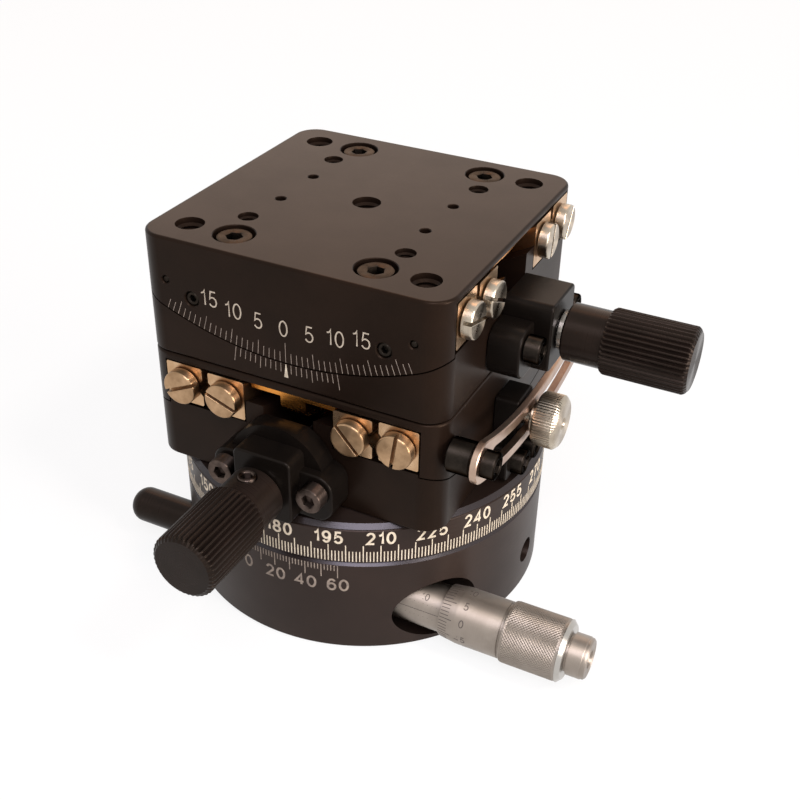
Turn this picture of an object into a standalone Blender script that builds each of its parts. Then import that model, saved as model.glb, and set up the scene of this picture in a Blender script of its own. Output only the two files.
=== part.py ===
"""Micrometer rotary stage that carries two crossed tilt stages on curved roller rails.

Units are metres, +Z is up, and the origin lies on the rotation axis in the plane of the bottom face.
The upper table tilts about Y and the lower one about X. Both axes cross 50 mm above the top face.
"""
import math
from dataclasses import dataclass

import bmesh
import bpy
from mathutils import Vector

# Fits, shared by the whole object
TOUCH_GAP = 0.0003
RUN_GAP = 0.0006
CUT_OVERRUN = 0.0015
HOLE_CLEARANCE = 0.0003

# Facet counts
FINE_SIDES = 48
BORE_SIDES = 20
HEAD_SIDES = 16
SMALL_SIDES = 12
HEX_SIDES = 6
RING_SIDES = 40
ROLLER_SIDES = 8
ARC_STEPS = 10
CORNER_STEPS = 4

# Rotary stage
ROTARY_RADIUS = 0.040
BODY_HEIGHT = 0.023
BODY_FLOOR = 0.0035
BODY_CHAMFER = 0.0006
CAVITY_ROOM = 0.0034
DIAL_HEIGHT = 0.0082
DIAL_RING_WIDTH = 0.006
TABLE_RIM_HEIGHT = 0.0009
CLAMP_RING_WALL = 0.0046
CLAMP_RING_HEIGHT = 0.0105

# Fine drive: the micrometer and the spring plunger push a tangent arm from both sides
ARM_RADIUS = 0.0254
ARM_HALF_WIDTH = 0.003
ARM_TIP_REACH = 0.0038
DRIVE_TRAVEL_ROOM = 0.0034
DRIVE_FLOOR_WALL = 0.0015
MOUNT_WALL = 0.006
SPINDLE_RADIUS = 0.003
SPINDLE_NOSE_RADIUS = 0.0015
SPINDLE_NOSE_LENGTH = 0.002
SLEEVE_RADIUS = 0.005
SLEEVE_REACH = 0.0161
THIMBLE_WALL = 0.001
THIMBLE_SETOFF = 0.0017
THIMBLE_EDGE_LENGTH = 0.0127
THIMBLE_GRIP_STEP = 0.0005
THIMBLE_GRIP_LENGTH = 0.0133
THIMBLE_SOCKET_DEPTH = 0.0179
THIMBLE_CAP_RADIUS = 0.0044
THIMBLE_CAP_LENGTH = 0.0049
THIMBLE_CHAMFER = 0.0008
THIMBLE_BORE_CLEARANCE = 0.0012
HOUSING_RADIUS = 0.004
HOUSING_REACH = 0.0161
HOUSING_BORE_DEPTH = 0.018
PLUNGER_RADIUS = 0.0022
PLUNGER_LENGTH = 0.014
LOCK_SCREW_RADIUS = 0.002
LOCK_SCREW_LENGTH = 0.0058
LOCK_SOCKET_RADIUS = 0.0011
LOCK_SOCKET_DEPTH = 0.002
LOCK_ACCESS_RADIUS = 0.0029

# What follows from the fine drive: the ring clears the sleeve, the bore clears the thimble
CLAMP_RING_RADIUS = ARM_RADIUS - SLEEVE_RADIUS - TOUCH_GAP
HUB_RADIUS = CLAMP_RING_RADIUS - CLAMP_RING_WALL
CAVITY_RADIUS = CLAMP_RING_RADIUS + CAVITY_ROOM
THIMBLE_RADIUS = SLEEVE_RADIUS + THIMBLE_WALL
THIMBLE_BORE_RADIUS = THIMBLE_RADIUS + THIMBLE_BORE_CLEARANCE
DRIVE_HEIGHT = DRIVE_FLOOR_WALL + THIMBLE_BORE_RADIUS
FLANK_REACH = math.sqrt(ROTARY_RADIUS ** 2 - ARM_RADIUS ** 2)

# Tilt stages
STAGE_SIDE = 0.065
TABLE_SIDE_HEIGHT = 0.0122
BASE_SIDE_HEIGHT = 0.0128
STAGE_HEIGHT = TABLE_SIDE_HEIGHT + BASE_SIDE_HEIGHT
CORNER_RADIUS = 0.005
EDGE_CHAMFER = 0.0006
TILT_HEIGHT = 0.050
SPLIT_HALF_GAP = 0.00015
FLANGE_WALL = 0.0042
UPPER_END_WALL = 0.0011
LOWER_END_WALL = 0.0016

# Curved rails of crossed-roller pattern
RAIL_SEAT_DROP = 0.0012
RAIL_SHIFT = 0.0003
RAIL_SPACING = 0.0014
INNER_LAND_HALF_WIDTH = 0.010
ROLLER_DIAMETER = 0.003
ROLLER_LENGTH = 0.0026
ROLLER_GAP = 0.00025
ROLLER_COUNT = 8
ROLLER_PITCH = 0.0056
CAGE_THICKNESS = 0.0007
CAGE_HEIGHT = 0.005
RAIL_BOLT_INSET = 0.003
RAIL_BOLT_SETBACK = 0.010
RAIL_BOLT_LENGTH = 0.0085

# Stop screws on the rail ends
STOP_HEAD_MARGIN = 0.0005
STOP_HEAD_HEIGHT = 0.0024
STOP_SHANK_RADIUS = 0.0015
STOP_SHANK_LENGTH = 0.004
STOP_SLOT_WIDTH = 0.001
STOP_SLOT_DEPTH = 0.001
STOP_SLOT_TURNS_DEG = (25.0, -20.0, -48.0, 82.0)

# Worm drive
WORM_MODULE = 0.0005
WORM_PITCH_RADIUS = 0.0045
WORM_THREAD_LENGTH = 0.0064
WORM_SHAFT_RADIUS = 0.003
WORM_JOURNAL_RADIUS = 0.002
WORM_JOURNAL_LENGTH = 0.005
SECTOR_RECESS = 0.002
SECTOR_FLANGE_THICKNESS = 0.0012
SECTOR_RIB_HALF_WIDTH = 0.0028
UPPER_RIB_DEPTH = 0.00014
LOWER_RIB_DEPTH = 0.0022
BASE_RIB_DROP = 0.0053

# Worm bracket and its screws
BRACKET_HALF_WIDTH = 0.006
BRACKET_LENGTH = 0.010
BRACKET_HEIGHT_ABOVE_AXIS = 0.0075
BRACKET_FOOT = 0.0005
EAR_THICKNESS = 0.0065
EAR_HEIGHT_ABOVE_AXIS = 0.0037
EAR_SCREW_CLEARANCE = 0.00115
EAR_MARGIN = 0.00135
EAR_SCREW_GRIP = 0.005
BRACKET_EDGE_RADIUS = 0.0012
M3_RADIUS = 0.0015
M3_HEAD_RADIUS = 0.00275
M3_HEAD_HEIGHT = 0.003
M3_SOCKET_RADIUS = 0.00144
M3_SOCKET_DEPTH = 0.0015
EAR_SCREW_OFFSET = BRACKET_HALF_WIDTH + EAR_SCREW_CLEARANCE + M3_HEAD_RADIUS

# Knob
KNOB_GAP = 0.0015
KNOB_COLLAR_RADIUS = 0.00575
KNOB_COLLAR_LENGTH = 0.008
KNOB_GRIP_RADIUS = 0.0066
KNOB_GRIP_LENGTH = 0.0168
KNOB_RIBS = 28
KNOB_RIB_DEPTH = 0.00035
KNOB_CHAMFER = 0.0009
KNOB_BORE_DEPTH = 0.010

# Clamp strap, its posts, block and thumb screw
STRAP_DROP = 0.0058
STRAP_WIDTH = 0.0085
STRAP_THICKNESS = 0.0015
STRAP_STANDOFF = 0.0055
LOWER_POST_INSET = 0.0041
UPPER_POST_INSET = 0.0077
STRAP_SLOT_WIDTH = 0.0044
STRAP_SLOT_SETBACK = 0.0052
POST_RADIUS = 0.0035
LOWER_CLAMP_SHIFT = 0.0025
BLOCK_HALF_WIDTH = 0.0084
BLOCK_NECK_HALF_WIDTH = 0.0042
BLOCK_SHOULDER_GAP = 0.0005
BLOCK_RISE = 0.0048
BLOCK_FOOT = 0.0005
BLOCK_SCREW_INSET = 0.0032
BLOCK_SCREW_RISE = 0.0033
BLOCK_SCREW_HEAD_HEIGHT = 0.0024
THUMB_SHANK_RADIUS = 0.0019
THUMB_COLLAR_RADIUS = 0.0036
THUMB_COLLAR_HEIGHT = 0.001
THUMB_HEAD_RADIUS = 0.0055
THUMB_HEAD_LENGTH = 0.0052
THUMB_CHAMFER = 0.0005

# Holes in the top table
M6_RADIUS = 0.0029
M6_INSET = 0.0075
M4_RADIUS = 0.0019
M4_SETBACK = 0.008
M4_HEAD_RADIUS = 0.0035
M4_SOCKET_RADIUS = 0.00173
M4_SOCKET_DEPTH = 0.002
COUNTERBORE_CLEARANCE = 0.00065
COUNTERBORE_DEPTH = 0.0045
HEAD_SINK = 0.0004
PIN_HOLE_RADIUS = 0.0011
PIN_HOLE_DEPTH = 0.003
PIN_HOLE_X = 0.016
PIN_HOLE_Y = 0.0065
FACE_SCREW_RADIUS = 0.0015
FACE_SCREW_INSET = 0.012
FACE_SCREW_DROP = 0.0118
FACE_PIN_RADIUS = 0.0008
FACE_PIN_INSET = 0.0062
FACE_PIN_DROP = 0.009
FACE_HOLE_DEPTH = 0.0025
M6_REACH = STAGE_SIDE / 2 - M6_INSET


@dataclass(frozen=True)
class Stage:
    """One tilt stage in its own frame: origin on the tilt axis, X along the rails, Y along the axis."""

    name: str
    tilt_height: float
    turn_deg: float
    top_gap: float
    end_wall: float
    rib_depth: float
    post_inset: float
    clamp_shift: float
    has_open_top: bool

    @property
    def top(self):
        """Height of the table's top face in the stage frame."""
        return -self.tilt_height - self.top_gap

    @property
    def floor(self):
        """Height of the base's bottom face in the stage frame."""
        return -self.tilt_height - STAGE_HEIGHT

    @property
    def split_radius(self):
        """Radius of the arc where table and base meet."""
        return math.hypot(STAGE_SIDE / 2, self.tilt_height + TABLE_SIDE_HEIGHT)

    @property
    def rail_outer(self):
        """Outer radius of the moving rails."""
        return self.split_radius - RAIL_SEAT_DROP

    @property
    def rail_inner(self):
        """Inner radius of the moving rails."""
        return self.ceiling + TOUCH_GAP

    @property
    def ceiling(self):
        """Radius of the pocket's ceiling, which leaves a thin wall over the rails at the table's ends."""
        return math.hypot(STAGE_SIDE / 2, self.end_wall - self.top)

    @property
    def flange_outer(self):
        """Outer radius of the sector's flange, which lies under the pocket's ceiling."""
        return self.ceiling + TOUCH_GAP + SECTOR_FLANGE_THICKNESS

    @property
    def groove_radius(self):
        """Radius of the line on which the rollers run."""
        return (self.rail_inner + self.rail_outer + RAIL_SHIFT) / 2

    @property
    def axis_radius(self):
        """Distance from the tilt axis to the worm axis: the worm's crest clears the sector's flange."""
        return self.flange_outer + self.rib_depth + TOUCH_GAP + worm_crest_radius()

    @property
    def pitch_radius(self):
        """Pitch radius of the worm sector."""
        return self.axis_radius - WORM_PITCH_RADIUS

    @property
    def tooth_tip(self):
        """Radius of the sector's tooth tips, clear of the worm's root."""
        return self.axis_radius - worm_root_radius() - TOUCH_GAP

    @property
    def tooth_root(self):
        """Radius of the sector's tooth roots, clear of the worm's crest."""
        return self.axis_radius - worm_crest_radius() - TOUCH_GAP

    @property
    def bracket_depth(self):
        """How far the worm bracket reaches below the worm axis."""
        return -self.floor - self.axis_radius - BRACKET_FOOT

    @property
    def strap_radius(self):
        """Middle radius of the clamp strap."""
        return self.split_radius - STRAP_DROP


def worm_crest_radius():
    """Return the outside radius of the worm thread."""
    return WORM_PITCH_RADIUS + WORM_MODULE


def worm_root_radius():
    """Return the core radius under the worm thread."""
    dedendum_share = 1.2
    return WORM_PITCH_RADIUS - WORM_MODULE * dedendum_share


def worm_pitch():
    """Return the axial pitch of the worm, which the sector's teeth share."""
    return math.pi * WORM_MODULE


def rail_bands():
    """Return the two rail bands as distances from the middle plane: fixed, then moving."""
    outer_high = STAGE_SIDE / 2 - FLANGE_WALL - TOUCH_GAP
    width = (outer_high - INNER_LAND_HALF_WIDTH - RAIL_SPACING) / 2
    return (INNER_LAND_HALF_WIDTH, INNER_LAND_HALF_WIDTH + width), (outer_high - width, outer_high)


def stop_head_radius():
    """Return the radius of a stop screw's head, which sits on the end of a rail."""
    low, high = rail_bands()[0]
    return (high - low) / 2 - STOP_HEAD_MARGIN


def track_middle():
    """Return the distance from the middle plane to the plane in which a cage runs."""
    fixed, moving = rail_bands()
    return (fixed[1] + moving[0]) / 2


# Materials

def metal(name, colour, roughness, metallic):
    """Make a plain material for the source model."""
    material = bpy.data.materials.new(name)
    material.use_nodes = True
    shader = material.node_tree.nodes["Principled BSDF"]
    shader.inputs["Base Color"].default_value = (*colour, 1.0)
    shader.inputs["Roughness"].default_value = roughness
    shader.inputs["Metallic"].default_value = metallic
    return material


def make_materials():
    """Return the object's finishes by name."""
    return {
        "black": metal("black_anodised_aluminium", (0.030, 0.024, 0.021), 0.42, 0.4),
        "knob": metal("black_oxide_steel", (0.016, 0.014, 0.014), 0.45, 0.5),
        "screw": metal("dark_screw_steel", (0.10, 0.085, 0.08), 0.35, 0.9),
        "nickel": metal("nickel_plated_steel", (0.62, 0.55, 0.46), 0.25, 1.0),
        "rail": metal("ground_bearing_steel", (0.60, 0.52, 0.45), 0.3, 1.0),
        "brass": metal("brass", (0.62, 0.33, 0.10), 0.3, 1.0),
        "chrome": metal("satin_chrome", (0.58, 0.57, 0.56), 0.35, 1.0),
    }


# Shape helpers

def clear_scene():
    """Remove every object that the scene holds."""
    for item in list(bpy.data.objects):
        bpy.data.objects.remove(item, do_unlink=True)


def circle(radius, height, sides, phase=0.0):
    """Return one ring of points about local Z."""
    turns = [math.tau * (i + phase) / sides for i in range(sides)]
    return [Vector((radius * math.cos(a), radius * math.sin(a), height)) for a in turns]


def hexagon(radius, height, sides):
    """Return a hexagon as a ring of the given number of points, a multiple of six."""
    half_flat = radius * math.cos(math.pi / HEX_SIDES)
    ring = []
    for i in range(sides):
        angle = math.tau * i / sides
        off = (angle + math.pi / HEX_SIDES) % (math.tau / HEX_SIDES) - math.pi / HEX_SIDES
        reach = half_flat / math.cos(off)
        ring.append(Vector((reach * math.cos(angle), reach * math.sin(angle), height)))
    return ring


def closed_mesh(name, points, faces, smooth):
    """Make a mesh whose faces all point outwards."""
    shape = bmesh.new()
    verts = [shape.verts.new(p) for p in points]
    for face in faces:
        shape.faces.new([verts[i] for i in face])
    bmesh.ops.recalc_face_normals(shape, faces=shape.faces)
    mesh = bpy.data.meshes.new(name)
    shape.to_mesh(mesh)
    shape.free()
    if smooth:
        shade(mesh)
    return mesh


def shade(mesh):
    """Shade round stretches smooth and keep real edges sharp."""
    sharp_edge_deg = 31.0
    mesh.shade_smooth()
    mesh.set_sharp_from_angle(angle=math.radians(sharp_edge_deg))


def loft(name, rings, smooth=True, capped=True):
    """Join rings of equal length into one closed body, as a tube with two caps or as a closed hoop."""
    count = len(rings[0])
    points = [p for ring in rings for p in ring]
    faces = []
    spans = len(rings) - 1 if capped else len(rings)
    for k in range(spans):
        low = k * count
        high = ((k + 1) % len(rings)) * count
        for i in range(count):
            j = (i + 1) % count
            faces.append((low + i, low + j, high + j, high + i))
    if capped:
        faces.append(tuple(reversed(range(count))))
        faces.append(tuple(range((len(rings) - 1) * count, len(rings) * count)))
    return closed_mesh(name, points, faces, smooth)


def turned(name, profile, sides):
    """Turn an open profile of (radius, height) pairs into a solid about local Z."""
    return loft(name, [circle(r, h, sides) for r, h in profile])


def turned_hoop(name, profile, sides):
    """Turn a closed profile of (radius, height) pairs into a ring about local Z."""
    return loft(name, [circle(r, h, sides) for r, h in profile], capped=False)


def prism(name, outline, low, high, smooth=False):
    """Extrude a flat outline along local Z."""
    rings = [[Vector((x, y, h)) for x, y in outline] for h in (low, high)]
    return loft(name, rings, smooth)


def rounded_outline(x_low, x_high, y_low, y_high, radius):
    """Return a rectangle with round corners, counter-clockwise."""
    centres = ((x_high - radius, y_high - radius, 0), (x_low + radius, y_high - radius, 1),
               (x_low + radius, y_low + radius, 2), (x_high - radius, y_low + radius, 3))
    points = []
    for cx, cy, quarter in centres:
        for i in range(CORNER_STEPS + 1):
            angle = math.pi / 2 * (quarter + i / CORNER_STEPS)
            points.append((cx + radius * math.cos(angle), cy + radius * math.sin(angle)))
    return points


def square_block(name, low, high, chamfer):
    """Make a stage plate: a square block with round corners and a chamfer on its top edge."""
    half = STAGE_SIDE / 2
    full = rounded_outline(-half, half, -half, half, CORNER_RADIUS)
    inset = half - chamfer
    small = rounded_outline(-inset, inset, -inset, inset, CORNER_RADIUS - chamfer)
    rings = [[Vector((x, y, low)) for x, y in full], [Vector((x, y, high - chamfer)) for x, y in full],
             [Vector((x, y, high)) for x, y in small]]
    return loft(name, rings)


def arc_sweep(name, section, half_length, steps=ARC_STEPS):
    """Sweep a section of (across, radius) points along an arc about the tilt axis, with upright ends."""
    rings = []
    for k in range(steps + 1):
        share = 2 * k / steps - 1
        ring = []
        for across, radius in section:
            angle = share * math.asin(half_length / radius)
            ring.append(Vector((radius * math.sin(angle), across, -radius * math.cos(angle))))
        rings.append(ring)
    return loft(name, rings)


def arc_slot_outline(radius, half_width, half_angle):
    """Return an arc band with round ends; its points lie about (0, 0), at the +Y side."""
    def spot(r, angle):
        return r * math.sin(angle), r * math.cos(angle)

    def long_side(r, start):
        return [spot(r, start * (1 - 2 * k / ARC_STEPS)) for k in range(ARC_STEPS + 1)]

    def round_end(angle, first_turn):
        cx, cy = spot(radius, angle)
        steps = SMALL_SIDES // 2
        turns = [first_turn + math.pi * k / steps for k in range(1, steps)]
        return [(cx + half_width * math.cos(t), cy + half_width * math.sin(t)) for t in turns]

    quarter = math.pi / 2
    return (long_side(radius + half_width, half_angle) + round_end(-half_angle, quarter + half_angle)
            + long_side(radius - half_width, -half_angle) + round_end(half_angle, -quarter - half_angle))


# Object helpers

def place(name, mesh, material, parent, location=(0, 0, 0), turn=(0, 0, 0)):
    """Add one sub-part of the object under an empty."""
    piece = bpy.data.objects.new(name, mesh)
    bpy.context.collection.objects.link(piece)
    piece.parent = parent
    piece.location = location
    piece.rotation_euler = turn
    if material:
        if not mesh.materials:
            mesh.materials.append(material)
    return piece


def guide(name, mesh, parent, location=(0, 0, 0), turn=(0, 0, 0)):
    """Add a tool body that shapes another piece and is no part of the object."""
    tool = place(name, mesh, None, parent, location, turn)
    tool.hide_render = True
    tool.display_type = "WIRE"
    return tool


def carve(piece, tool, operation="DIFFERENCE"):
    """Cut a tool body out of a piece, or join it on."""
    step = piece.modifiers.new(tool.name, "BOOLEAN")
    step.operation = operation
    step.solver = "EXACT"
    step.object = tool
    return piece


def axis_empty(name, parent, location=(0, 0, 0), turn_deg=0.0):
    """Add an empty that stands for a joint's axis or for a carried frame."""
    empty = bpy.data.objects.new(name, None)
    bpy.context.collection.objects.link(empty)
    empty.parent = parent
    empty.location = location
    empty.rotation_euler = (0, 0, math.radians(turn_deg))
    return empty


ALONG_X = (0, math.pi / 2, 0)
ALONG_MINUS_X = (0, -math.pi / 2, 0)
ALONG_Y = (-math.pi / 2, 0, 0)


def cap_screw(name, shank_radius, shank_length, head_radius, head_height, socket_radius, socket_depth):
    """Make a socket cap screw: its head sits on local Z 0 and its shank points down."""
    sides = SMALL_SIDES
    socket_floor = head_height - socket_depth
    rings = [circle(shank_radius, -shank_length, sides), circle(shank_radius, 0, sides),
             circle(head_radius, 0, sides), circle(head_radius, head_height, sides),
             hexagon(socket_radius, head_height, sides), hexagon(socket_radius, socket_floor, sides)]
    return loft(name, rings)


# Rotary stage

def make_rotary_body(root, material):
    """Model the round cup that holds the hub, the tangent arm and both drive bores."""
    edge = ROTARY_RADIUS - BODY_CHAMFER
    profile = [(edge, 0), (ROTARY_RADIUS, BODY_CHAMFER), (ROTARY_RADIUS, BODY_HEIGHT - BODY_CHAMFER),
               (edge, BODY_HEIGHT)]
    body = place("rotary_body", turned("rotary_body", profile, FINE_SIDES), material, root)
    opening = [(CAVITY_RADIUS, BODY_FLOOR), (CAVITY_RADIUS, BODY_HEIGHT + CUT_OVERRUN)]
    carve(body, guide("cavity", turned("cavity", opening, RING_SIDES), root))
    room = ARM_HALF_WIDTH + DRIVE_TRAVEL_ROOM
    reach = ARM_RADIUS + ARM_TIP_REACH + CUT_OVERRUN
    pocket_top = BODY_FLOOR + TOUCH_GAP + CLAMP_RING_HEIGHT + RUN_GAP
    outline = [(-room, -reach), (room, -reach), (room, 0), (-room, 0)]
    pocket = prism("arm_pocket", outline, BODY_FLOOR, pocket_top)
    carve(body, guide("arm_pocket", pocket, root))
    seat = room + MOUNT_WALL
    drive = (0, -ARM_RADIUS, DRIVE_HEIGHT)
    through = [(SLEEVE_RADIUS + TOUCH_GAP, 0), (SLEEVE_RADIUS + TOUCH_GAP, seat),
               (THIMBLE_BORE_RADIUS, seat), (THIMBLE_BORE_RADIUS, ROTARY_RADIUS)]
    bore = turned("micrometer_bore", through, BORE_SIDES)
    carve(body, guide("micrometer_bore", bore, root, drive, ALONG_X))
    left = [(HOUSING_RADIUS + TOUCH_GAP, 0), (HOUSING_RADIUS + TOUCH_GAP, ROTARY_RADIUS)]
    bore = turned("housing_bore", left, BORE_SIDES)
    carve(body, guide("housing_bore", bore, root, drive, ALONG_MINUS_X))
    access = [(LOCK_ACCESS_RADIUS, 0), (LOCK_ACCESS_RADIUS, ROTARY_RADIUS + CUT_OVERRUN)]
    bore = turned("lock_access", access, SMALL_SIDES)
    carve(body, guide("lock_access", bore, root, (0, 0, DRIVE_HEIGHT), ALONG_X))


def make_turntable(axis, material):
    """Model the turntable: a thin rim, a plug inside the dial ring and a hub."""
    dial_top = BODY_HEIGHT + TOUCH_GAP + DIAL_HEIGHT
    rim_low = dial_top + TOUCH_GAP
    dial_inner = ROTARY_RADIUS - DIAL_RING_WIDTH
    plug_radius = dial_inner - TOUCH_GAP
    edge = ROTARY_RADIUS - BODY_CHAMFER
    profile = [(HUB_RADIUS, BODY_FLOOR + TOUCH_GAP), (HUB_RADIUS, BODY_HEIGHT + TOUCH_GAP),
               (plug_radius, BODY_HEIGHT + TOUCH_GAP), (plug_radius, rim_low), (ROTARY_RADIUS, rim_low),
               (ROTARY_RADIUS, rim_low + TABLE_RIM_HEIGHT - BODY_CHAMFER), (edge, rim_low + TABLE_RIM_HEIGHT)]
    place("turntable", turned("turntable", profile, FINE_SIDES), material, axis)
    low = BODY_HEIGHT + TOUCH_GAP
    ring = [(dial_inner, low), (ROTARY_RADIUS, low), (ROTARY_RADIUS, dial_top), (dial_inner, dial_top)]
    place("dial_ring", turned_hoop("dial_ring", ring, FINE_SIDES), material, axis)
    return rim_low + TABLE_RIM_HEIGHT


def make_clamp_ring(axis, materials):
    """Model the clamp ring round the hub, with its tangent arm and clamp screw."""
    low = BODY_FLOOR + TOUCH_GAP
    high = low + CLAMP_RING_HEIGHT
    inner = HUB_RADIUS + HOLE_CLEARANCE
    outer = CLAMP_RING_RADIUS
    profile = [(inner, low), (outer, low), (outer, high), (inner, high)]
    ring = place("clamp_ring", turned_hoop("clamp_ring", profile, RING_SIDES), materials["screw"], axis)
    tip = ARM_RADIUS + ARM_TIP_REACH
    root = (inner + outer) / 2
    half = ARM_HALF_WIDTH
    outline = [(-half, -tip), (half, -tip), (half, -root), (-half, -root)]
    arm = prism("arm", outline, low + RUN_GAP, high - RUN_GAP)
    carve(ring, guide("arm", arm, axis), "UNION")
    seat = (0, 0, DRIVE_HEIGHT)
    thread = LOCK_SCREW_RADIUS + HOLE_CLEARANCE
    hole = turned("lock_hole", [(thread, 0), (thread, ROTARY_RADIUS)], SMALL_SIDES)
    carve(ring, guide("lock_hole", hole, axis, seat, ALONG_X))
    start = HUB_RADIUS + TOUCH_GAP
    end = start + LOCK_SCREW_LENGTH
    rings = [circle(LOCK_SCREW_RADIUS, start, SMALL_SIDES), circle(LOCK_SCREW_RADIUS, end, SMALL_SIDES),
             hexagon(LOCK_SOCKET_RADIUS, end, SMALL_SIDES),
             hexagon(LOCK_SOCKET_RADIUS, end - LOCK_SOCKET_DEPTH, SMALL_SIDES)]
    place("lock_screw", loft("lock_screw", rings), materials["screw"], axis, seat, ALONG_X)


def make_micrometer(root, materials):
    """Model the micrometer: a fixed sleeve, and a spindle and thimble that travel along X."""
    seat = ARM_HALF_WIDTH + DRIVE_TRAVEL_ROOM + TOUCH_GAP
    axis = (0, -ARM_RADIUS, DRIVE_HEIGHT)
    bore = SPINDLE_RADIUS + HOLE_CLEARANCE
    sleeve_end = FLANK_REACH + SLEEVE_REACH
    sleeve = [(bore, seat), (SLEEVE_RADIUS, seat), (SLEEVE_RADIUS, sleeve_end), (bore, sleeve_end)]
    place("micrometer_sleeve", turned_hoop("micrometer_sleeve", sleeve, BORE_SIDES), materials["chrome"],
          root, axis, ALONG_X)
    tip = ARM_HALF_WIDTH + TOUCH_GAP
    mouth = FLANK_REACH + THIMBLE_SETOFF
    socket_end = mouth + THIMBLE_SOCKET_DEPTH
    spindle = [(SPINDLE_NOSE_RADIUS, tip), (SPINDLE_RADIUS, tip + SPINDLE_NOSE_LENGTH),
               (SPINDLE_RADIUS, socket_end - TOUCH_GAP)]
    slide = axis_empty("micrometer_axis", root, axis)
    place("micrometer_spindle", turned("micrometer_spindle", spindle, SMALL_SIDES), materials["chrome"],
          slide, turn=ALONG_X)
    inside = SLEEVE_RADIUS + HOLE_CLEARANCE
    grip = THIMBLE_RADIUS + THIMBLE_GRIP_STEP
    grip_start = mouth + THIMBLE_EDGE_LENGTH
    grip_end = grip_start + THIMBLE_GRIP_LENGTH
    thimble = [(inside, socket_end), (inside, mouth), (THIMBLE_RADIUS, mouth), (THIMBLE_RADIUS, grip_start),
               (grip, grip_start), (grip, grip_end - THIMBLE_CHAMFER), (grip - THIMBLE_CHAMFER, grip_end),
               (THIMBLE_CAP_RADIUS, grip_end), (THIMBLE_CAP_RADIUS, grip_end + THIMBLE_CAP_LENGTH)]
    place("micrometer_thimble", turned("micrometer_thimble", thimble, BORE_SIDES), materials["chrome"],
          slide, turn=ALONG_X)


def make_spring_side(root, materials):
    """Model the return-spring housing opposite the micrometer, and its plunger."""
    axis = (0, -ARM_RADIUS, DRIVE_HEIGHT)
    seat = ARM_HALF_WIDTH + DRIVE_TRAVEL_ROOM + TOUCH_GAP
    bore = PLUNGER_RADIUS + HOLE_CLEARANCE
    dome_start = FLANK_REACH + HOUSING_REACH - HOUSING_RADIUS / 2
    dome_shares = (0.0, 0.35, 0.65, 0.86)
    dome = []
    for share in dome_shares:
        rise = share * HOUSING_RADIUS / 2
        dome.append((HOUSING_RADIUS * math.sqrt(1 - share * share), dome_start + rise))
    profile = [(bore, seat + HOUSING_BORE_DEPTH), (bore, seat), (HOUSING_RADIUS, seat)] + dome
    place("spring_housing", turned("spring_housing", profile, BORE_SIDES), materials["knob"],
          root, axis, ALONG_MINUS_X)
    tip = ARM_HALF_WIDTH + TOUCH_GAP
    rod = [(SPINDLE_NOSE_RADIUS, tip), (PLUNGER_RADIUS, tip + SPINDLE_NOSE_LENGTH),
           (PLUNGER_RADIUS, tip + PLUNGER_LENGTH)]
    place("spring_plunger", turned("spring_plunger", rod, SMALL_SIDES), materials["screw"],
          axis_empty("plunger_axis", root, axis), turn=ALONG_MINUS_X)


# Tilt stages

def make_base(stage, frame, material):
    """Model a stage's base: a block with a curved land, a worm channel and a bearing bore."""
    name = stage.name + "_base"
    block = square_block(name, stage.floor, stage.top, EDGE_CHAMFER)
    base = place(name, block, material, frame)
    wide = STAGE_SIDE / 2 + CUT_OVERRUN
    (fixed_low, _), (_, moving_high) = rail_bands()
    land = stage.rail_outer + RAIL_SHIFT + TOUCH_GAP
    shoulder = stage.split_radius + SPLIT_HALF_GAP
    rib = stage.split_radius - BASE_RIB_DROP
    channel = max(rib, stage.tooth_tip + RUN_GAP)
    rib_side = fixed_low - TOUCH_GAP
    groove_side = worm_crest_radius() + RUN_GAP
    steps = [(wide, shoulder), (moving_high, shoulder), (moving_high, land), (rib_side, land),
             (rib_side, rib), (groove_side, rib), (groove_side, channel)]
    above = stage.tilt_height - CUT_OVERRUN
    section = [(wide, above)] + steps + [(-y, r) for y, r in reversed(steps)] + [(-wide, above)]
    carve(base, guide(name + "_top_cut", arc_sweep(name + "_top_cut", section, wide), frame))
    back = WORM_THREAD_LENGTH / 2 + CUT_OVERRUN
    outline = [(-back, -groove_side), (wide, -groove_side), (wide, groove_side), (-back, groove_side)]
    groove = prism(name + "_groove", outline, -stage.axis_radius - groove_side, -stage.tilt_height)
    carve(base, guide(name + "_groove", groove, frame))
    hole = WORM_JOURNAL_RADIUS + HOLE_CLEARANCE
    depth = back + WORM_JOURNAL_LENGTH + TOUCH_GAP
    bore = turned(name + "_journal", [(hole, 0), (hole, depth)], SMALL_SIDES)
    worm_line = (0, 0, -stage.axis_radius)
    carve(base, guide(name + "_journal", bore, frame, worm_line, ALONG_MINUS_X))
    tapped = M3_RADIUS + HOLE_CLEARANCE
    face = STAGE_SIDE / 2
    depth = EAR_SCREW_GRIP + TOUCH_GAP
    for side in (-1, 1):
        label = f"{name}_tap_{side}"
        hole = turned(label, [(tapped, face - depth), (tapped, face + CUT_OVERRUN)], SMALL_SIDES)
        spot = (0, side * EAR_SCREW_OFFSET, -stage.axis_radius)
        carve(base, guide(label, hole, frame, spot, ALONG_X))


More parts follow.
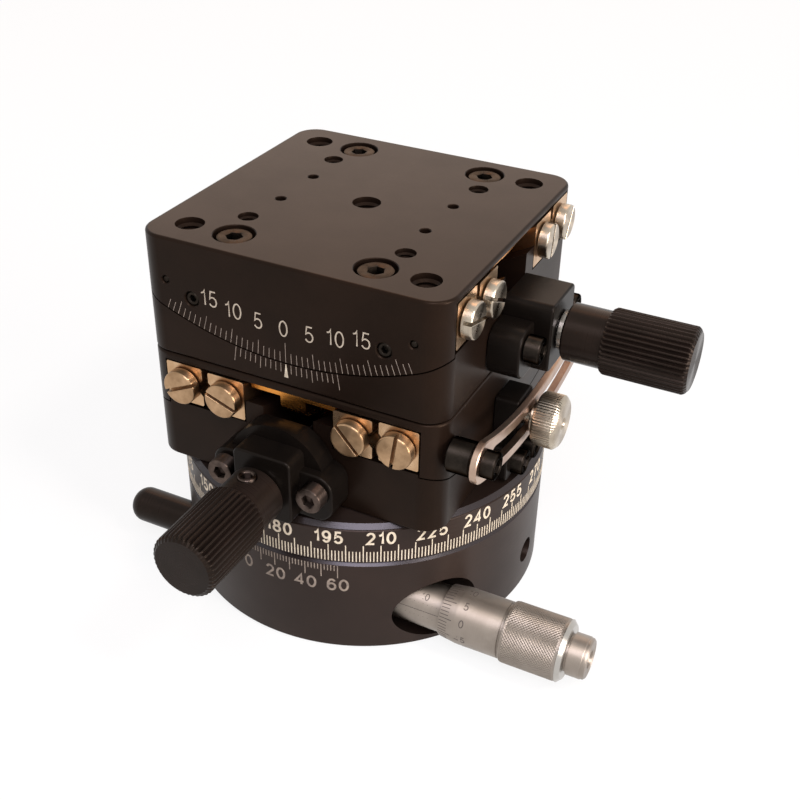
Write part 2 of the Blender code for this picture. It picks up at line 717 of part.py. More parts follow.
def make_table(stage, frame, material):
    """Model a stage's table: a plate with a curved pocket under it and a flange on each side."""
    name = stage.name + "_table"
    low = -stage.split_radius - CUT_OVERRUN
    table = place(name, square_block(name, low, stage.top, EDGE_CHAMFER), material, frame)
    wide = STAGE_SIDE / 2 + CUT_OVERRUN
    flange_inside = STAGE_SIDE / 2 - FLANGE_WALL
    edge = stage.split_radius - SPLIT_HALF_GAP
    deep = math.hypot(wide, low - CUT_OVERRUN)
    half = [(wide, deep), (wide, edge), (flange_inside, edge), (flange_inside, stage.ceiling)]
    section = half + [(-y, r) for y, r in reversed(half)]
    carve(table, guide(name + "_pocket", arc_sweep(name + "_pocket", section, wide), frame))
    if stage.has_open_top:
        drill_top_table(stage, table, frame)
        drill_face(stage, table, frame)
    return table


def drill_top_table(stage, table, frame):
    """Cut the hole pattern of the top table."""
    through = STAGE_HEIGHT / 2
    patterns = (("m6", M6_RADIUS, through, four_corners(M6_REACH, M6_REACH) + [(0, 0)]),
                ("m4", M4_RADIUS, through, four_corners(M6_REACH - M4_SETBACK, M6_REACH - M4_SETBACK)),
                ("pin", PIN_HOLE_RADIUS, PIN_HOLE_DEPTH, four_corners(PIN_HOLE_X, PIN_HOLE_Y)))
    for kind, radius, depth, places in patterns:
        for number, (x, y) in enumerate(places):
            label = f"{kind}_hole_{number}"
            hole = turned(label, [(radius, -depth), (radius, CUT_OVERRUN)], SMALL_SIDES)
            carve(table, guide(label, hole, frame, (x, y, stage.top)))
    shank = M4_RADIUS + HOLE_CLEARANCE
    wide = M4_HEAD_RADIUS + COUNTERBORE_CLEARANCE
    for number, (x, y) in enumerate(rail_bolt_spots()):
        label = f"counterbore_{number}"
        profile = [(shank, -through), (shank, -COUNTERBORE_DEPTH), (wide, -COUNTERBORE_DEPTH),
                   (wide, CUT_OVERRUN)]
        carve(table, guide(label, turned(label, profile, SMALL_SIDES), frame, (x, y, stage.top)))


def drill_face(stage, table, frame):
    """Cut the set-screw and pin holes in the scale face."""
    half = STAGE_SIDE / 2
    for kind, radius, inset, drop in (("face_screw", FACE_SCREW_RADIUS, FACE_SCREW_INSET, FACE_SCREW_DROP),
                                      ("face_pin", FACE_PIN_RADIUS, FACE_PIN_INSET, FACE_PIN_DROP)):
        for side in (-1, 1):
            label = f"{kind}_hole_{side}"
            hole = turned(label, [(radius, -CUT_OVERRUN), (radius, FACE_HOLE_DEPTH)], SMALL_SIDES)
            spot = (side * (half - inset), -half, stage.top - drop)
            carve(table, guide(label, hole, frame, spot, ALONG_Y))


def four_corners(reach_x, reach_y):
    """Return the four corners of a rectangle about the middle."""
    return [(x, y) for x in (-reach_x, reach_x) for y in (-reach_y, reach_y)]


def rail_bolt_spots():
    """Return the places of the screws that hold the moving rails to their table."""
    return four_corners(M6_REACH - RAIL_BOLT_SETBACK, rail_bands()[1][1] - RAIL_BOLT_INSET)


def rail_section(band, side, groove_radius, inner, outer, groove_at_high):
    """Return the section of one rail, a rectangle with a V groove on the side that faces its partner."""
    low, high = band
    apex_reach = (ROLLER_DIAMETER + 2 * ROLLER_GAP) / math.sqrt(2)
    depth = apex_reach - RAIL_SPACING / 2
    face, away = (high, low) if groove_at_high else (low, high)
    apex = face - depth if groove_at_high else face + depth
    section = [(away, inner), (face, inner), (face, groove_radius - depth), (apex, groove_radius),
               (face, groove_radius + depth), (face, outer), (away, outer)]
    return [(side * y, r) for y, r in section]


def make_rails(stage, fixed_frame, moving_frame, materials):
    """Model a stage's four rails, each with its far stop screw, and the tapped holes in them."""
    fixed, moving = rail_bands()
    half = STAGE_SIDE / 2
    head_radius = stop_head_radius()
    for side, letter in ((-1, "a"), (1, "b")):
        for band, frame, shift, kind in ((fixed, fixed_frame, RAIL_SHIFT, "fixed"),
                                         (moving, moving_frame, 0, "moving")):
            name = f"{stage.name}_{kind}_rail_{letter}"
            inner = stage.rail_inner + shift
            outer = stage.rail_outer + shift
            section = rail_section(band, side, stage.groove_radius, inner, outer, kind == "fixed")
            rail = place(name, arc_sweep(name, section, half), materials["rail"], frame)
            middle = side * (band[0] + band[1]) / 2
            spot = (0, middle, end_height((inner + outer) / 2))
            bore = STOP_SHANK_RADIUS + HOLE_CLEARANCE
            bottom = half - STOP_SHANK_LENGTH - TOUCH_GAP
            tap = turned(name + "_tap", [(bore, bottom), (bore, half + CUT_OVERRUN)], SMALL_SIDES)
            carve(rail, guide(name + "_tap", tap, frame, spot, ALONG_X))
            profile = [(head_radius, half - STOP_HEAD_HEIGHT / 2), (head_radius, half + STOP_HEAD_HEIGHT)]
            head = turned(name + "_far_head", profile, SMALL_SIDES)
            carve(rail, guide(name + "_far_head", head, frame, spot, ALONG_MINUS_X), "UNION")
            if kind == "moving" and stage.has_open_top:
                drill_rail(stage, rail, frame, side)


def end_height(radius):
    """Return the height at which an arc of this radius meets the stage's end face."""
    return -math.sqrt(radius ** 2 - (STAGE_SIDE / 2) ** 2)


def drill_rail(stage, rail, frame, side):
    """Cut the two holes that take the table's cap screws."""
    radius = M4_RADIUS + HOLE_CLEARANCE
    depth = COUNTERBORE_DEPTH + RAIL_BOLT_LENGTH
    for number, (x, y) in enumerate(rail_bolt_spots()):
        if y * side < 0:
            continue
        label = f"{rail.name}_bolt_{number}"
        hole = turned(label, [(radius, -depth), (radius, 0)], SMALL_SIDES)
        carve(rail, guide(label, hole, frame, (x, y, stage.top)))


def make_cages(stage, frame, material):
    """Model the two roller cages: a thin curved strip with crossed rollers in it."""
    middle = track_middle()
    line = stage.groove_radius
    half_length = ROLLER_PITCH * ROLLER_COUNT / 2
    for side, letter in ((-1, "a"), (1, "b")):
        name = f"{stage.name}_roller_cage_{letter}"
        near = side * middle - CAGE_THICKNESS / 2
        far = side * middle + CAGE_THICKNESS / 2
        low = line - CAGE_HEIGHT / 2
        high = line + CAGE_HEIGHT / 2
        section = [(near, low), (far, low), (far, high), (near, high)]
        cage = place(name, arc_sweep(name, section, half_length, ROLLER_COUNT), material, frame)
        for number in range(ROLLER_COUNT):
            angle = (number - (ROLLER_COUNT - 1) / 2) * ROLLER_PITCH / line
            lean = math.pi / 4 if number % 2 else -math.pi / 4
            label = f"{name}_roller_{number}"
            half = ROLLER_LENGTH / 2
            roller = turned(label, [(ROLLER_DIAMETER / 2, -half), (ROLLER_DIAMETER / 2, half)], ROLLER_SIDES)
            spot = (line * math.sin(angle), side * middle, -line * math.cos(angle))
            tool = guide(label, roller, frame, spot)
            tool.rotation_mode = "ZYX"
            tool.rotation_euler = (lean, -angle, 0)
            carve(cage, tool, "UNION")


def make_stop_screws(stage, fixed_frame, moving_frame, material):
    """Model the four slotted stop screws on the rail ends beside the knob."""
    fixed, moving = rail_bands()
    head_radius = stop_head_radius()
    places = ((-1, moving, moving_frame, 0), (-1, fixed, fixed_frame, RAIL_SHIFT),
              (1, fixed, fixed_frame, RAIL_SHIFT), (1, moving, moving_frame, 0))
    for number, (side, band, frame, shift) in enumerate(places):
        name = f"{stage.name}_stop_screw_{number + 1}"
        profile = [(STOP_SHANK_RADIUS, -STOP_SHANK_LENGTH), (STOP_SHANK_RADIUS, TOUCH_GAP),
                   (head_radius, TOUCH_GAP), (head_radius, STOP_HEAD_HEIGHT)]
        middle = side * (band[0] + band[1]) / 2
        height = end_height((stage.rail_inner + stage.rail_outer) / 2 + shift)
        spot = (STAGE_SIDE / 2, middle, height)
        screw = place(name, turned(name, profile, HEAD_SIDES), material, frame, spot, ALONG_X)
        slot_half = STOP_SLOT_WIDTH / 2
        reach = head_radius + CUT_OVERRUN
        outline = [(-reach, -slot_half), (reach, -slot_half), (reach, slot_half), (-reach, slot_half)]
        bottom = STOP_HEAD_HEIGHT - STOP_SLOT_DEPTH
        slot = prism(name + "_slot", outline, bottom, STOP_HEAD_HEIGHT + CUT_OVERRUN)
        turn = (0, 0, math.pi / 2 + math.radians(STOP_SLOT_TURNS_DEG[number]))
        carve(screw, guide(name + "_slot", slot, screw, turn=turn))


def thread_mesh(name):
    """Make a single-start right-hand thread about local Z, with flat ends and its crest set for mesh."""
    sides = SMALL_SIDES
    pitch = worm_pitch()
    crest = worm_crest_radius()
    root = worm_root_radius()
    crest_share, base_share = 0.14, 0.60
    spare_turns = 3
    profile = [(pitch * (1 - base_share) / 2, root), (pitch * (1 - crest_share) / 2, crest),
               (pitch * (1 + crest_share) / 2, crest), (pitch * (1 + base_share) / 2, root)]
    turns = math.ceil(WORM_THREAD_LENGTH / pitch) + spare_turns
    start = -math.ceil(turns / 2) * pitch
    rows = len(profile) * turns + 1
    shape = bmesh.new()
    grid = []
    for i in range(sides):
        angle = math.tau * i / sides
        column = []
        for j in range(rows):
            offset, radius = profile[j % len(profile)]
            height = start + pitch * (j // len(profile)) + offset + pitch * i / sides
            column.append(shape.verts.new((radius * math.cos(angle), radius * math.sin(angle), height)))
        grid.append(column)
    for i in range(sides):
        lift = len(profile) if i == sides - 1 else 0
        here, there = grid[i], grid[(i + 1) % sides]
        for j in range(rows - 1 - lift):
            shape.faces.new((here[j], here[j + 1], there[j + 1 + lift], there[j + lift]))
    return finish_thread(name, shape)


def finish_thread(name, shape):
    """Cut the thread to its length with two flat ends."""
    half = WORM_THREAD_LENGTH / 2
    for height, normal in ((-half, (0, 0, -1)), (half, (0, 0, 1))):
        everything = shape.verts[:] + shape.edges[:] + shape.faces[:]
        cut = bmesh.ops.bisect_plane(shape, geom=everything, plane_co=(0, 0, height), plane_no=normal,
                                     clear_outer=True)
        edges = [item for item in cut["geom_cut"] if isinstance(item, bmesh.types.BMEdge)]
        bmesh.ops.edgenet_fill(shape, edges=edges)
    bmesh.ops.recalc_face_normals(shape, faces=shape.faces)
    mesh = bpy.data.meshes.new(name)
    shape.to_mesh(mesh)
    shape.free()
    return mesh


def make_worm(stage, frame, material):
    """Model the worm with its journal and the shaft that carries the knob."""
    name = stage.name + "_worm"
    spot = (0, 0, -stage.axis_radius)
    worm = place(name, thread_mesh(name), material, frame, spot, ALONG_X)
    back = WORM_THREAD_LENGTH / 2
    knob_start = STAGE_SIDE / 2 + TOUCH_GAP + BRACKET_LENGTH + KNOB_GAP
    shoulder = -back - TOUCH_GAP
    tail = -back - CUT_OVERRUN - WORM_JOURNAL_LENGTH
    profile = [(WORM_JOURNAL_RADIUS, tail), (WORM_JOURNAL_RADIUS, shoulder), (WORM_SHAFT_RADIUS, shoulder),
               (WORM_SHAFT_RADIUS, knob_start + KNOB_COLLAR_LENGTH)]
    shaft = turned(name + "_shaft", profile, SMALL_SIDES)
    carve(worm, guide(name + "_shaft", shaft, frame, spot, ALONG_X), "UNION")


def make_sector(stage, frame, material):
    """Model the brass sector: a flange under the table and a toothed rib that meets the worm."""
    name = stage.name + "_worm_sector"
    half_length = STAGE_SIDE / 2 - SECTOR_RECESS
    flange_high = stage.flange_outer
    flange_low = flange_high - SECTOR_FLANGE_THICKNESS
    wide = INNER_LAND_HALF_WIDTH - RUN_GAP
    section = [(-wide, flange_low), (wide, flange_low), (wide, flange_high), (-wide, flange_high)]
    sector = place(name, arc_sweep(name, section, half_length), material, frame)
    tooth_turn = worm_pitch() / stage.pitch_radius
    tip_share, base_share = 0.24, 0.62
    limit = math.asin(half_length / stage.tooth_tip)
    count = int(limit / tooth_turn - base_share / 2)
    middle = (flange_low + flange_high) / 2
    points = [(half_length, math.sqrt(middle ** 2 - half_length ** 2))]
    points.append((half_length, math.sqrt(stage.tooth_root ** 2 - half_length ** 2)))
    for k in range(count - 1, -count - 1, -1):
        centre = (k + 1 / 2) * tooth_turn
        for radius, share in ((stage.tooth_root, base_share), (stage.tooth_tip, tip_share),
                              (stage.tooth_tip, -tip_share), (stage.tooth_root, -base_share)):
            angle = centre + tooth_turn * share / 2
            points.append((radius * math.sin(angle), radius * math.cos(angle)))
    points.append((-half_length, math.sqrt(stage.tooth_root ** 2 - half_length ** 2)))
    points.append((-half_length, math.sqrt(middle ** 2 - half_length ** 2)))
    for k in range(1, ARC_STEPS):
        angle = math.asin(half_length / middle) * (2 * k / ARC_STEPS - 1)
        points.append((middle * math.sin(angle), middle * math.cos(angle)))
    rib = prism(name + "_rib", points, -SECTOR_RIB_HALF_WIDTH, SECTOR_RIB_HALF_WIDTH)
    carve(sector, guide(name + "_rib", rib, frame, turn=ALONG_Y), "UNION")


def make_bracket(stage, frame, materials):
    """Model the worm bracket with its ears, and the two screws that hold it."""
    name = stage.name + "_worm_bracket"
    start = STAGE_SIDE / 2 + TOUCH_GAP
    spot = (0, 0, -stage.axis_radius)
    depth = stage.bracket_depth
    body = rounded_outline(-BRACKET_HEIGHT_ABOVE_AXIS, depth, -BRACKET_HALF_WIDTH, BRACKET_HALF_WIDTH,
                           BRACKET_EDGE_RADIUS)
    block = prism(name, body, start, start + BRACKET_LENGTH)
    bracket = place(name, block, materials["black"], frame, spot, ALONG_X)
    span = EAR_SCREW_OFFSET + M3_HEAD_RADIUS + EAR_MARGIN
    wings = rounded_outline(-EAR_HEIGHT_ABOVE_AXIS, depth - TOUCH_GAP, -span, span, BRACKET_EDGE_RADIUS)
    ears = prism(name + "_ears", wings, start, start + EAR_THICKNESS)
    carve(bracket, guide(name + "_ears", ears, frame, spot, ALONG_X), "UNION")
    far = start + BRACKET_LENGTH + CUT_OVERRUN
    passage = WORM_SHAFT_RADIUS + HOLE_CLEARANCE
    bore = turned(name + "_bore", [(passage, start - CUT_OVERRUN), (passage, far)], SMALL_SIDES)
    carve(bracket, guide(name + "_bore", bore, frame, spot, ALONG_X))
    face = start + EAR_THICKNESS
    for number, side in enumerate((-1, 1)):
        across = side * EAR_SCREW_OFFSET
        radius = M3_RADIUS + HOLE_CLEARANCE
        label = f"{name}_hole_{number}"
        hole = turned(label, [(radius, start - CUT_OVERRUN), (radius, face + CUT_OVERRUN)], SMALL_SIDES)
        carve(bracket, guide(label, hole, frame, (0, across, -stage.axis_radius), ALONG_X))
        label = f"{stage.name}_bracket_screw_{number + 1}"
        screw = cap_screw(label, M3_RADIUS, EAR_THICKNESS + EAR_SCREW_GRIP, M3_HEAD_RADIUS, M3_HEAD_HEIGHT,
                          M3_SOCKET_RADIUS, M3_SOCKET_DEPTH)
        seat = (face + TOUCH_GAP, across, -stage.axis_radius)
        place(label, screw, materials["screw"], frame, seat, ALONG_X)


def make_knob(stage, frame, material):
    """Model the knob: a plain collar and a ribbed grip, bored for the worm shaft."""
    name = stage.name + "_tilt_knob"
    start = STAGE_SIDE / 2 + TOUCH_GAP + BRACKET_LENGTH + KNOB_GAP
    sides = KNOB_RIBS * 2
    grip_start = start + KNOB_COLLAR_LENGTH
    grip_end = grip_start + KNOB_GRIP_LENGTH

    def ribbed(height):
        crests = circle(KNOB_GRIP_RADIUS, height, sides)
        roots = circle(KNOB_GRIP_RADIUS - KNOB_RIB_DEPTH, height, sides)
        return [roots[i] if i % 2 else crests[i] for i in range(sides)]

    rings = [circle(KNOB_COLLAR_RADIUS, start, sides), circle(KNOB_COLLAR_RADIUS, grip_start, sides),
             ribbed(grip_start), ribbed(grip_end - KNOB_CHAMFER),
             circle(KNOB_GRIP_RADIUS - KNOB_CHAMFER, grip_end, sides)]
    spot = (0, 0, -stage.axis_radius)
    knob = place(name, loft(name, rings), material, frame, spot, ALONG_X)
    radius = WORM_SHAFT_RADIUS + HOLE_CLEARANCE
    profile = [(radius, start - CUT_OVERRUN), (radius, start + KNOB_BORE_DEPTH)]
    carve(knob, guide(name + "_bore", turned(name + "_bore", profile, SMALL_SIDES), frame, spot, ALONG_X))


def make_strap(stage, frame, materials):
    """Model the slotted clamp strap and the two posts that carry it on the table's flange."""
    name = stage.name + "_clamp_strap"
    radius = stage.strap_radius
    face = STAGE_SIDE / 2
    low = face + STRAP_STANDOFF
    post_turn = math.asin((face - stage.post_inset) / radius)
    band = prism(name, arc_slot_outline(radius, STRAP_WIDTH / 2, post_turn), low, low + STRAP_THICKNESS)
    strap = place(name, band, materials["nickel"], frame, turn=ALONG_Y)
    slot_turn = post_turn - STRAP_SLOT_SETBACK / radius
    outline = arc_slot_outline(radius, STRAP_SLOT_WIDTH / 2, slot_turn)
    slot = prism(name + "_slot", outline, low - CUT_OVERRUN, low + STRAP_THICKNESS + CUT_OVERRUN)
    carve(strap, guide(name + "_slot", slot, frame, turn=ALONG_Y))
    hole_radius = M3_RADIUS + HOLE_CLEARANCE
    head_seat = low + STRAP_THICKNESS + TOUCH_GAP
    head_top = head_seat + M3_HEAD_HEIGHT
    sides = SMALL_SIDES
    for number, side in enumerate((-1, 1)):
        spot = (side * radius * math.sin(post_turn), 0, -radius * math.cos(post_turn))
        label = f"{name}_hole_{number}"
        profile = [(hole_radius, low - CUT_OVERRUN), (hole_radius, head_seat + CUT_OVERRUN)]
        hole = turned(label, profile, sides)
        carve(strap, guide(label, hole, frame, spot, ALONG_Y))
        rings = [circle(POST_RADIUS, face + TOUCH_GAP, sides), circle(POST_RADIUS, low - TOUCH_GAP, sides),
                 circle(M3_RADIUS, low - TOUCH_GAP, sides), circle(M3_RADIUS, head_seat, sides),
                 circle(M3_HEAD_RADIUS, head_seat, sides), circle(M3_HEAD_RADIUS, head_top, sides),
                 hexagon(M3_SOCKET_RADIUS, head_top, sides),
                 hexagon(M3_SOCKET_RADIUS, head_top - M3_SOCKET_DEPTH, sides)]
        label = f"{stage.name}_strap_post_{number + 1}"
        place(label, loft(label, rings), materials["knob"], frame, spot, ALONG_Y)


def make_clamp(stage, frame, materials):
    """Model the clamp block on the base and the thumb screw that presses the strap on it."""
    name = stage.name + "_clamp_block"
    radius = stage.strap_radius
    face = STAGE_SIDE / 2
    inner = face + TOUCH_GAP
    outer = face + STRAP_STANDOFF - TOUCH_GAP
    shift = stage.clamp_shift
    shoulder = radius + POST_RADIUS + BLOCK_SHOULDER_GAP
    outline = rounded_outline(shift - BLOCK_HALF_WIDTH, shift + BLOCK_HALF_WIDTH, shoulder,
                              -stage.floor - BLOCK_FOOT, BRACKET_EDGE_RADIUS)
    block = place(name, prism(name, outline, inner, outer), materials["black"], frame, turn=ALONG_Y)
    outline = rounded_outline(shift - BLOCK_NECK_HALF_WIDTH, shift + BLOCK_NECK_HALF_WIDTH,
                              radius - BLOCK_RISE, shoulder + BLOCK_RISE, BRACKET_EDGE_RADIUS)
    neck = prism(name + "_neck", outline, inner, outer)
    carve(block, guide(name + "_neck", neck, frame, turn=ALONG_Y), "UNION")
    hole_radius = THUMB_SHANK_RADIUS + HOLE_CLEARANCE
    profile = [(hole_radius, inner - CUT_OVERRUN), (hole_radius, outer + CUT_OVERRUN)]
    hole = turned(name + "_hole", profile, SMALL_SIDES)
    spot = (shift, 0, -math.sqrt(radius ** 2 - shift ** 2))
    carve(block, guide(name + "_hole", hole, frame, spot, ALONG_Y))
    top = outer + BLOCK_SCREW_HEAD_HEIGHT
    sunk = outer - M3_SOCKET_DEPTH
    socket_floor = top - M3_SOCKET_DEPTH
    sides = SMALL_SIDES
    for number, side in enumerate((-1, 1)):
        rings = [circle(M3_HEAD_RADIUS, sunk, sides), circle(M3_HEAD_RADIUS, top, sides),
                 hexagon(M3_SOCKET_RADIUS, top, sides), hexagon(M3_SOCKET_RADIUS, socket_floor, sides)]
        label = f"{name}_screw_{number}"
        seat = (shift + side * (BLOCK_HALF_WIDTH - BLOCK_SCREW_INSET), 0, stage.floor + BLOCK_SCREW_RISE)
        carve(block, guide(label, loft(label, rings), frame, seat, ALONG_Y), "UNION")
    start = face + STRAP_STANDOFF + STRAP_THICKNESS + TOUCH_GAP
    collar_end = start + THUMB_COLLAR_HEIGHT
    end = collar_end + THUMB_HEAD_LENGTH
    edge = THUMB_HEAD_RADIUS - THUMB_CHAMFER
    profile = [(THUMB_SHANK_RADIUS, inner + TOUCH_GAP), (THUMB_SHANK_RADIUS, start),
               (THUMB_COLLAR_RADIUS, start), (THUMB_COLLAR_RADIUS, collar_end), (edge, collar_end),
               (THUMB_HEAD_RADIUS, collar_end + THUMB_CHAMFER), (THUMB_HEAD_RADIUS, end - THUMB_CHAMFER),
               (edge, end)]
    thumb = stage.name + "_thumb_screw"
    place(thumb, turned(thumb, profile, HEAD_SIDES), materials["nickel"], frame, spot, ALONG_Y)


def make_table_screws(stage, frame, material):
    """Model the four cap screws that hold the moving rails under the top table."""
    for number, (x, y) in enumerate(rail_bolt_spots()):
        seat = stage.top - COUNTERBORE_DEPTH + TOUCH_GAP
        label = f"table_screw_{number + 1}"
        screw = cap_screw(label, M4_RADIUS, RAIL_BOLT_LENGTH, M4_HEAD_RADIUS,
                          COUNTERBORE_DEPTH - TOUCH_GAP - HEAD_SINK, M4_SOCKET_RADIUS, M4_SOCKET_DEPTH)
        place(label, screw, material, frame, (x, y, seat))


def make_stage(stage, fixed_frame, moving_frame, cage_frame, knob_frame, materials):
    """Model one whole tilt stage."""
    make_base(stage, fixed_frame, materials["black"])
    make_table(stage, moving_frame, materials["black"])
    make_rails(stage, fixed_frame, moving_frame, materials)
    make_cages(stage, cage_frame, materials["nickel"])
    make_stop_screws(stage, fixed_frame, moving_frame, materials["nickel"])
    make_worm(stage, knob_frame, materials["screw"])
    make_sector(stage, moving_frame, materials["brass"])
    make_bracket(stage, fixed_frame, materials)
    make_knob(stage, knob_frame, materials["knob"])
    make_strap(stage, moving_frame, materials)
    make_clamp(stage, fixed_frame, materials)


def main():
    """Build the whole object."""
    clear_scene()
    materials = make_materials()
    root = axis_empty("stage_root", None)
    fine_axis = axis_empty("fine_rotation_axis", root)
    turn_axis = axis_empty("rotation_axis", fine_axis)
    make_rotary_body(root, materials["black"])
    make_clamp_ring(fine_axis, materials)
    turntable_top = make_turntable(turn_axis, materials["black"])
    make_micrometer(root, materials)
    make_spring_side(root, materials)

    lower = Stage("lower", TILT_HEIGHT + STAGE_HEIGHT, -90.0, TOUCH_GAP, LOWER_END_WALL, LOWER_RIB_DEPTH,
                  LOWER_POST_INSET, LOWER_CLAMP_SHIFT, has_open_top=False)
    upper = Stage("upper", TILT_HEIGHT, 0.0, 0.0, UPPER_END_WALL, UPPER_RIB_DEPTH,
                  UPPER_POST_INSET, 0.0, has_open_top=True)
    centre = turntable_top + TOUCH_GAP + 2 * STAGE_HEIGHT + TILT_HEIGHT
    lower_fixed = axis_empty("lower_stage_frame", turn_axis, (0, 0, centre), lower.turn_deg)
    lower_tilt = axis_empty("lower_tilt_axis", lower_fixed)
    upper_fixed = axis_empty("upper_stage_frame", lower_tilt, turn_deg=upper.turn_deg - lower.turn_deg)
    upper_tilt = axis_empty("upper_tilt_axis", upper_fixed)
    for stage, fixed, moving in ((lower, lower_fixed, lower_tilt), (upper, upper_fixed, upper_tilt)):
        cages = axis_empty(stage.name + "_cage_axis", fixed)
        make_stage(stage, fixed, moving, cages, fixed, materials)
    make_table_screws(upper, upper_tilt, materials["screw"])


main()
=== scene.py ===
"""Looks of a micrometer rotary stage with two crossed tilt stages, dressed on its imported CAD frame.

Sizes are in millimetres and angles in degrees, as a drawing gives them; meshes become metres as they are placed.
The row frame has its origin on the rotation axis in the plane of the bottom face, with +Z up.
"""
from __future__ import annotations

import logging
import math
from dataclasses import dataclass, field
from enum import Enum
from typing import Callable, Iterable, Sequence

import bmesh
import bpy
from mathutils import Matrix, Vector

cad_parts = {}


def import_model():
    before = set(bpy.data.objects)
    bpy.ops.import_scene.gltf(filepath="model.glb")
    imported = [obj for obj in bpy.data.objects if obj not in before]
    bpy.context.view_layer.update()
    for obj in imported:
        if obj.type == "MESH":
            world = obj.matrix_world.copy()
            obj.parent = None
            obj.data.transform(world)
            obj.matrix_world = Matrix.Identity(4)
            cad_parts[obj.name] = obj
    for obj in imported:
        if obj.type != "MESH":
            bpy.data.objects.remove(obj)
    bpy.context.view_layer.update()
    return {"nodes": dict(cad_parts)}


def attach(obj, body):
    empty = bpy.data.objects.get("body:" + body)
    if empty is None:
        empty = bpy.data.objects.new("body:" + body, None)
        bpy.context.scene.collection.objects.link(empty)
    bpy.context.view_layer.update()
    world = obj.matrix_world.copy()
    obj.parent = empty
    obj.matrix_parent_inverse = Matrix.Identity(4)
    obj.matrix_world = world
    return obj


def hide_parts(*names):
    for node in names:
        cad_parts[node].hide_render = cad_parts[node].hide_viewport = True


LOG = logging.getLogger("rotary_stage")
Point = tuple[float, float, float]
Flat = tuple[float, float]
Ring = list[Point]

MM = 0.001
# Gap between touching pieces, and how far a cutter stands past what it cuts
TOUCH_GAP = 0.3
OVERRUN = 1.5
# Edges sharper than this stay sharp in the shading
SMOOTH_DEG = 35.0
# Strength and turn of the smear that turning marks give a highlight
RING_SMEAR, RING_TURN = 0.85, 0.25
# Broken edge of a screw's slot, thickness of a fine-cut edge's skin, depth of the micrometer's knurl
SLOT_BREAK, SKIN, KNURL_DEPTH = 0.06, 0.03, 0.12
# Heights over one rib of a knob, from its foot round to the next foot
RIB_WAVE = (0.0, 0.25, 0.85, 1.0, 0.85, 0.25)

# Turns that lay a piece's own Z along an axis of the object
ALONG_X = Matrix(((0, 0, 1), (0, 1, 0), (-1, 0, 0))).to_4x4()
ALONG_MINUS_X = Matrix(((0, 0, -1), (0, 1, 0), (1, 0, 0))).to_4x4()
ALONG_Y = Matrix(((1, 0, 0), (0, 0, 1), (0, -1, 0))).to_4x4()
ALONG_MINUS_Y = Matrix(((1, 0, 0), (0, 0, -1), (0, 1, 0))).to_4x4()


def at(x: float, y: float, z: float) -> Matrix:
    """Return a shift in millimetres."""
    return Matrix.Translation((x, y, z))


def about_z(degrees: float) -> Matrix:
    """Return a turn about Z."""
    return Matrix.Rotation(math.radians(degrees), 4, "Z")


# Finishes

def linear(hex_colour: str) -> tuple[float, float, float, float]:
    """Turn an sRGB hex colour to linear light.

    Args:
        hex_colour: Colour such as "#c8b496".

    Returns:
        Linear red, green, blue and an alpha of 1.
    """
    parts = [int(hex_colour[i:i + 2], 16) / 255 for i in (1, 3, 5)]
    red, green, blue = [p / 12.92 if p <= 0.04045 else ((p + 0.055) / 1.055) ** 2.4 for p in parts]
    return red, green, blue, 1.0


def add_node(tree: bpy.types.NodeTree, kind: str, inputs: dict | None = None,
             **settings: object) -> bpy.types.Node:
    """Add one shader node with its settings, values and links.

    Args:
        tree: Node tree that takes the node.
        kind: Node type without its "ShaderNode" prefix.
        inputs: Values or output sockets by input name or number.
        **settings: Properties of the node itself.

    Returns:
        The new node.
    """
    node = tree.nodes.new("ShaderNode" + kind)
    for name, value in settings.items():
        setattr(node, name, value)
    for key, value in (inputs or {}).items():
        if isinstance(value, bpy.types.NodeSocket):
            tree.links.new(value, node.inputs[key])
        else:
            node.inputs[key].default_value = value
    return node


class Marks(Enum):
    """The way a surface was made, which gives its fine marks their direction."""

    BLASTED = "blasted"
    TURNED = "turned"
    GROUND = "ground"
    PLAIN = "plain"


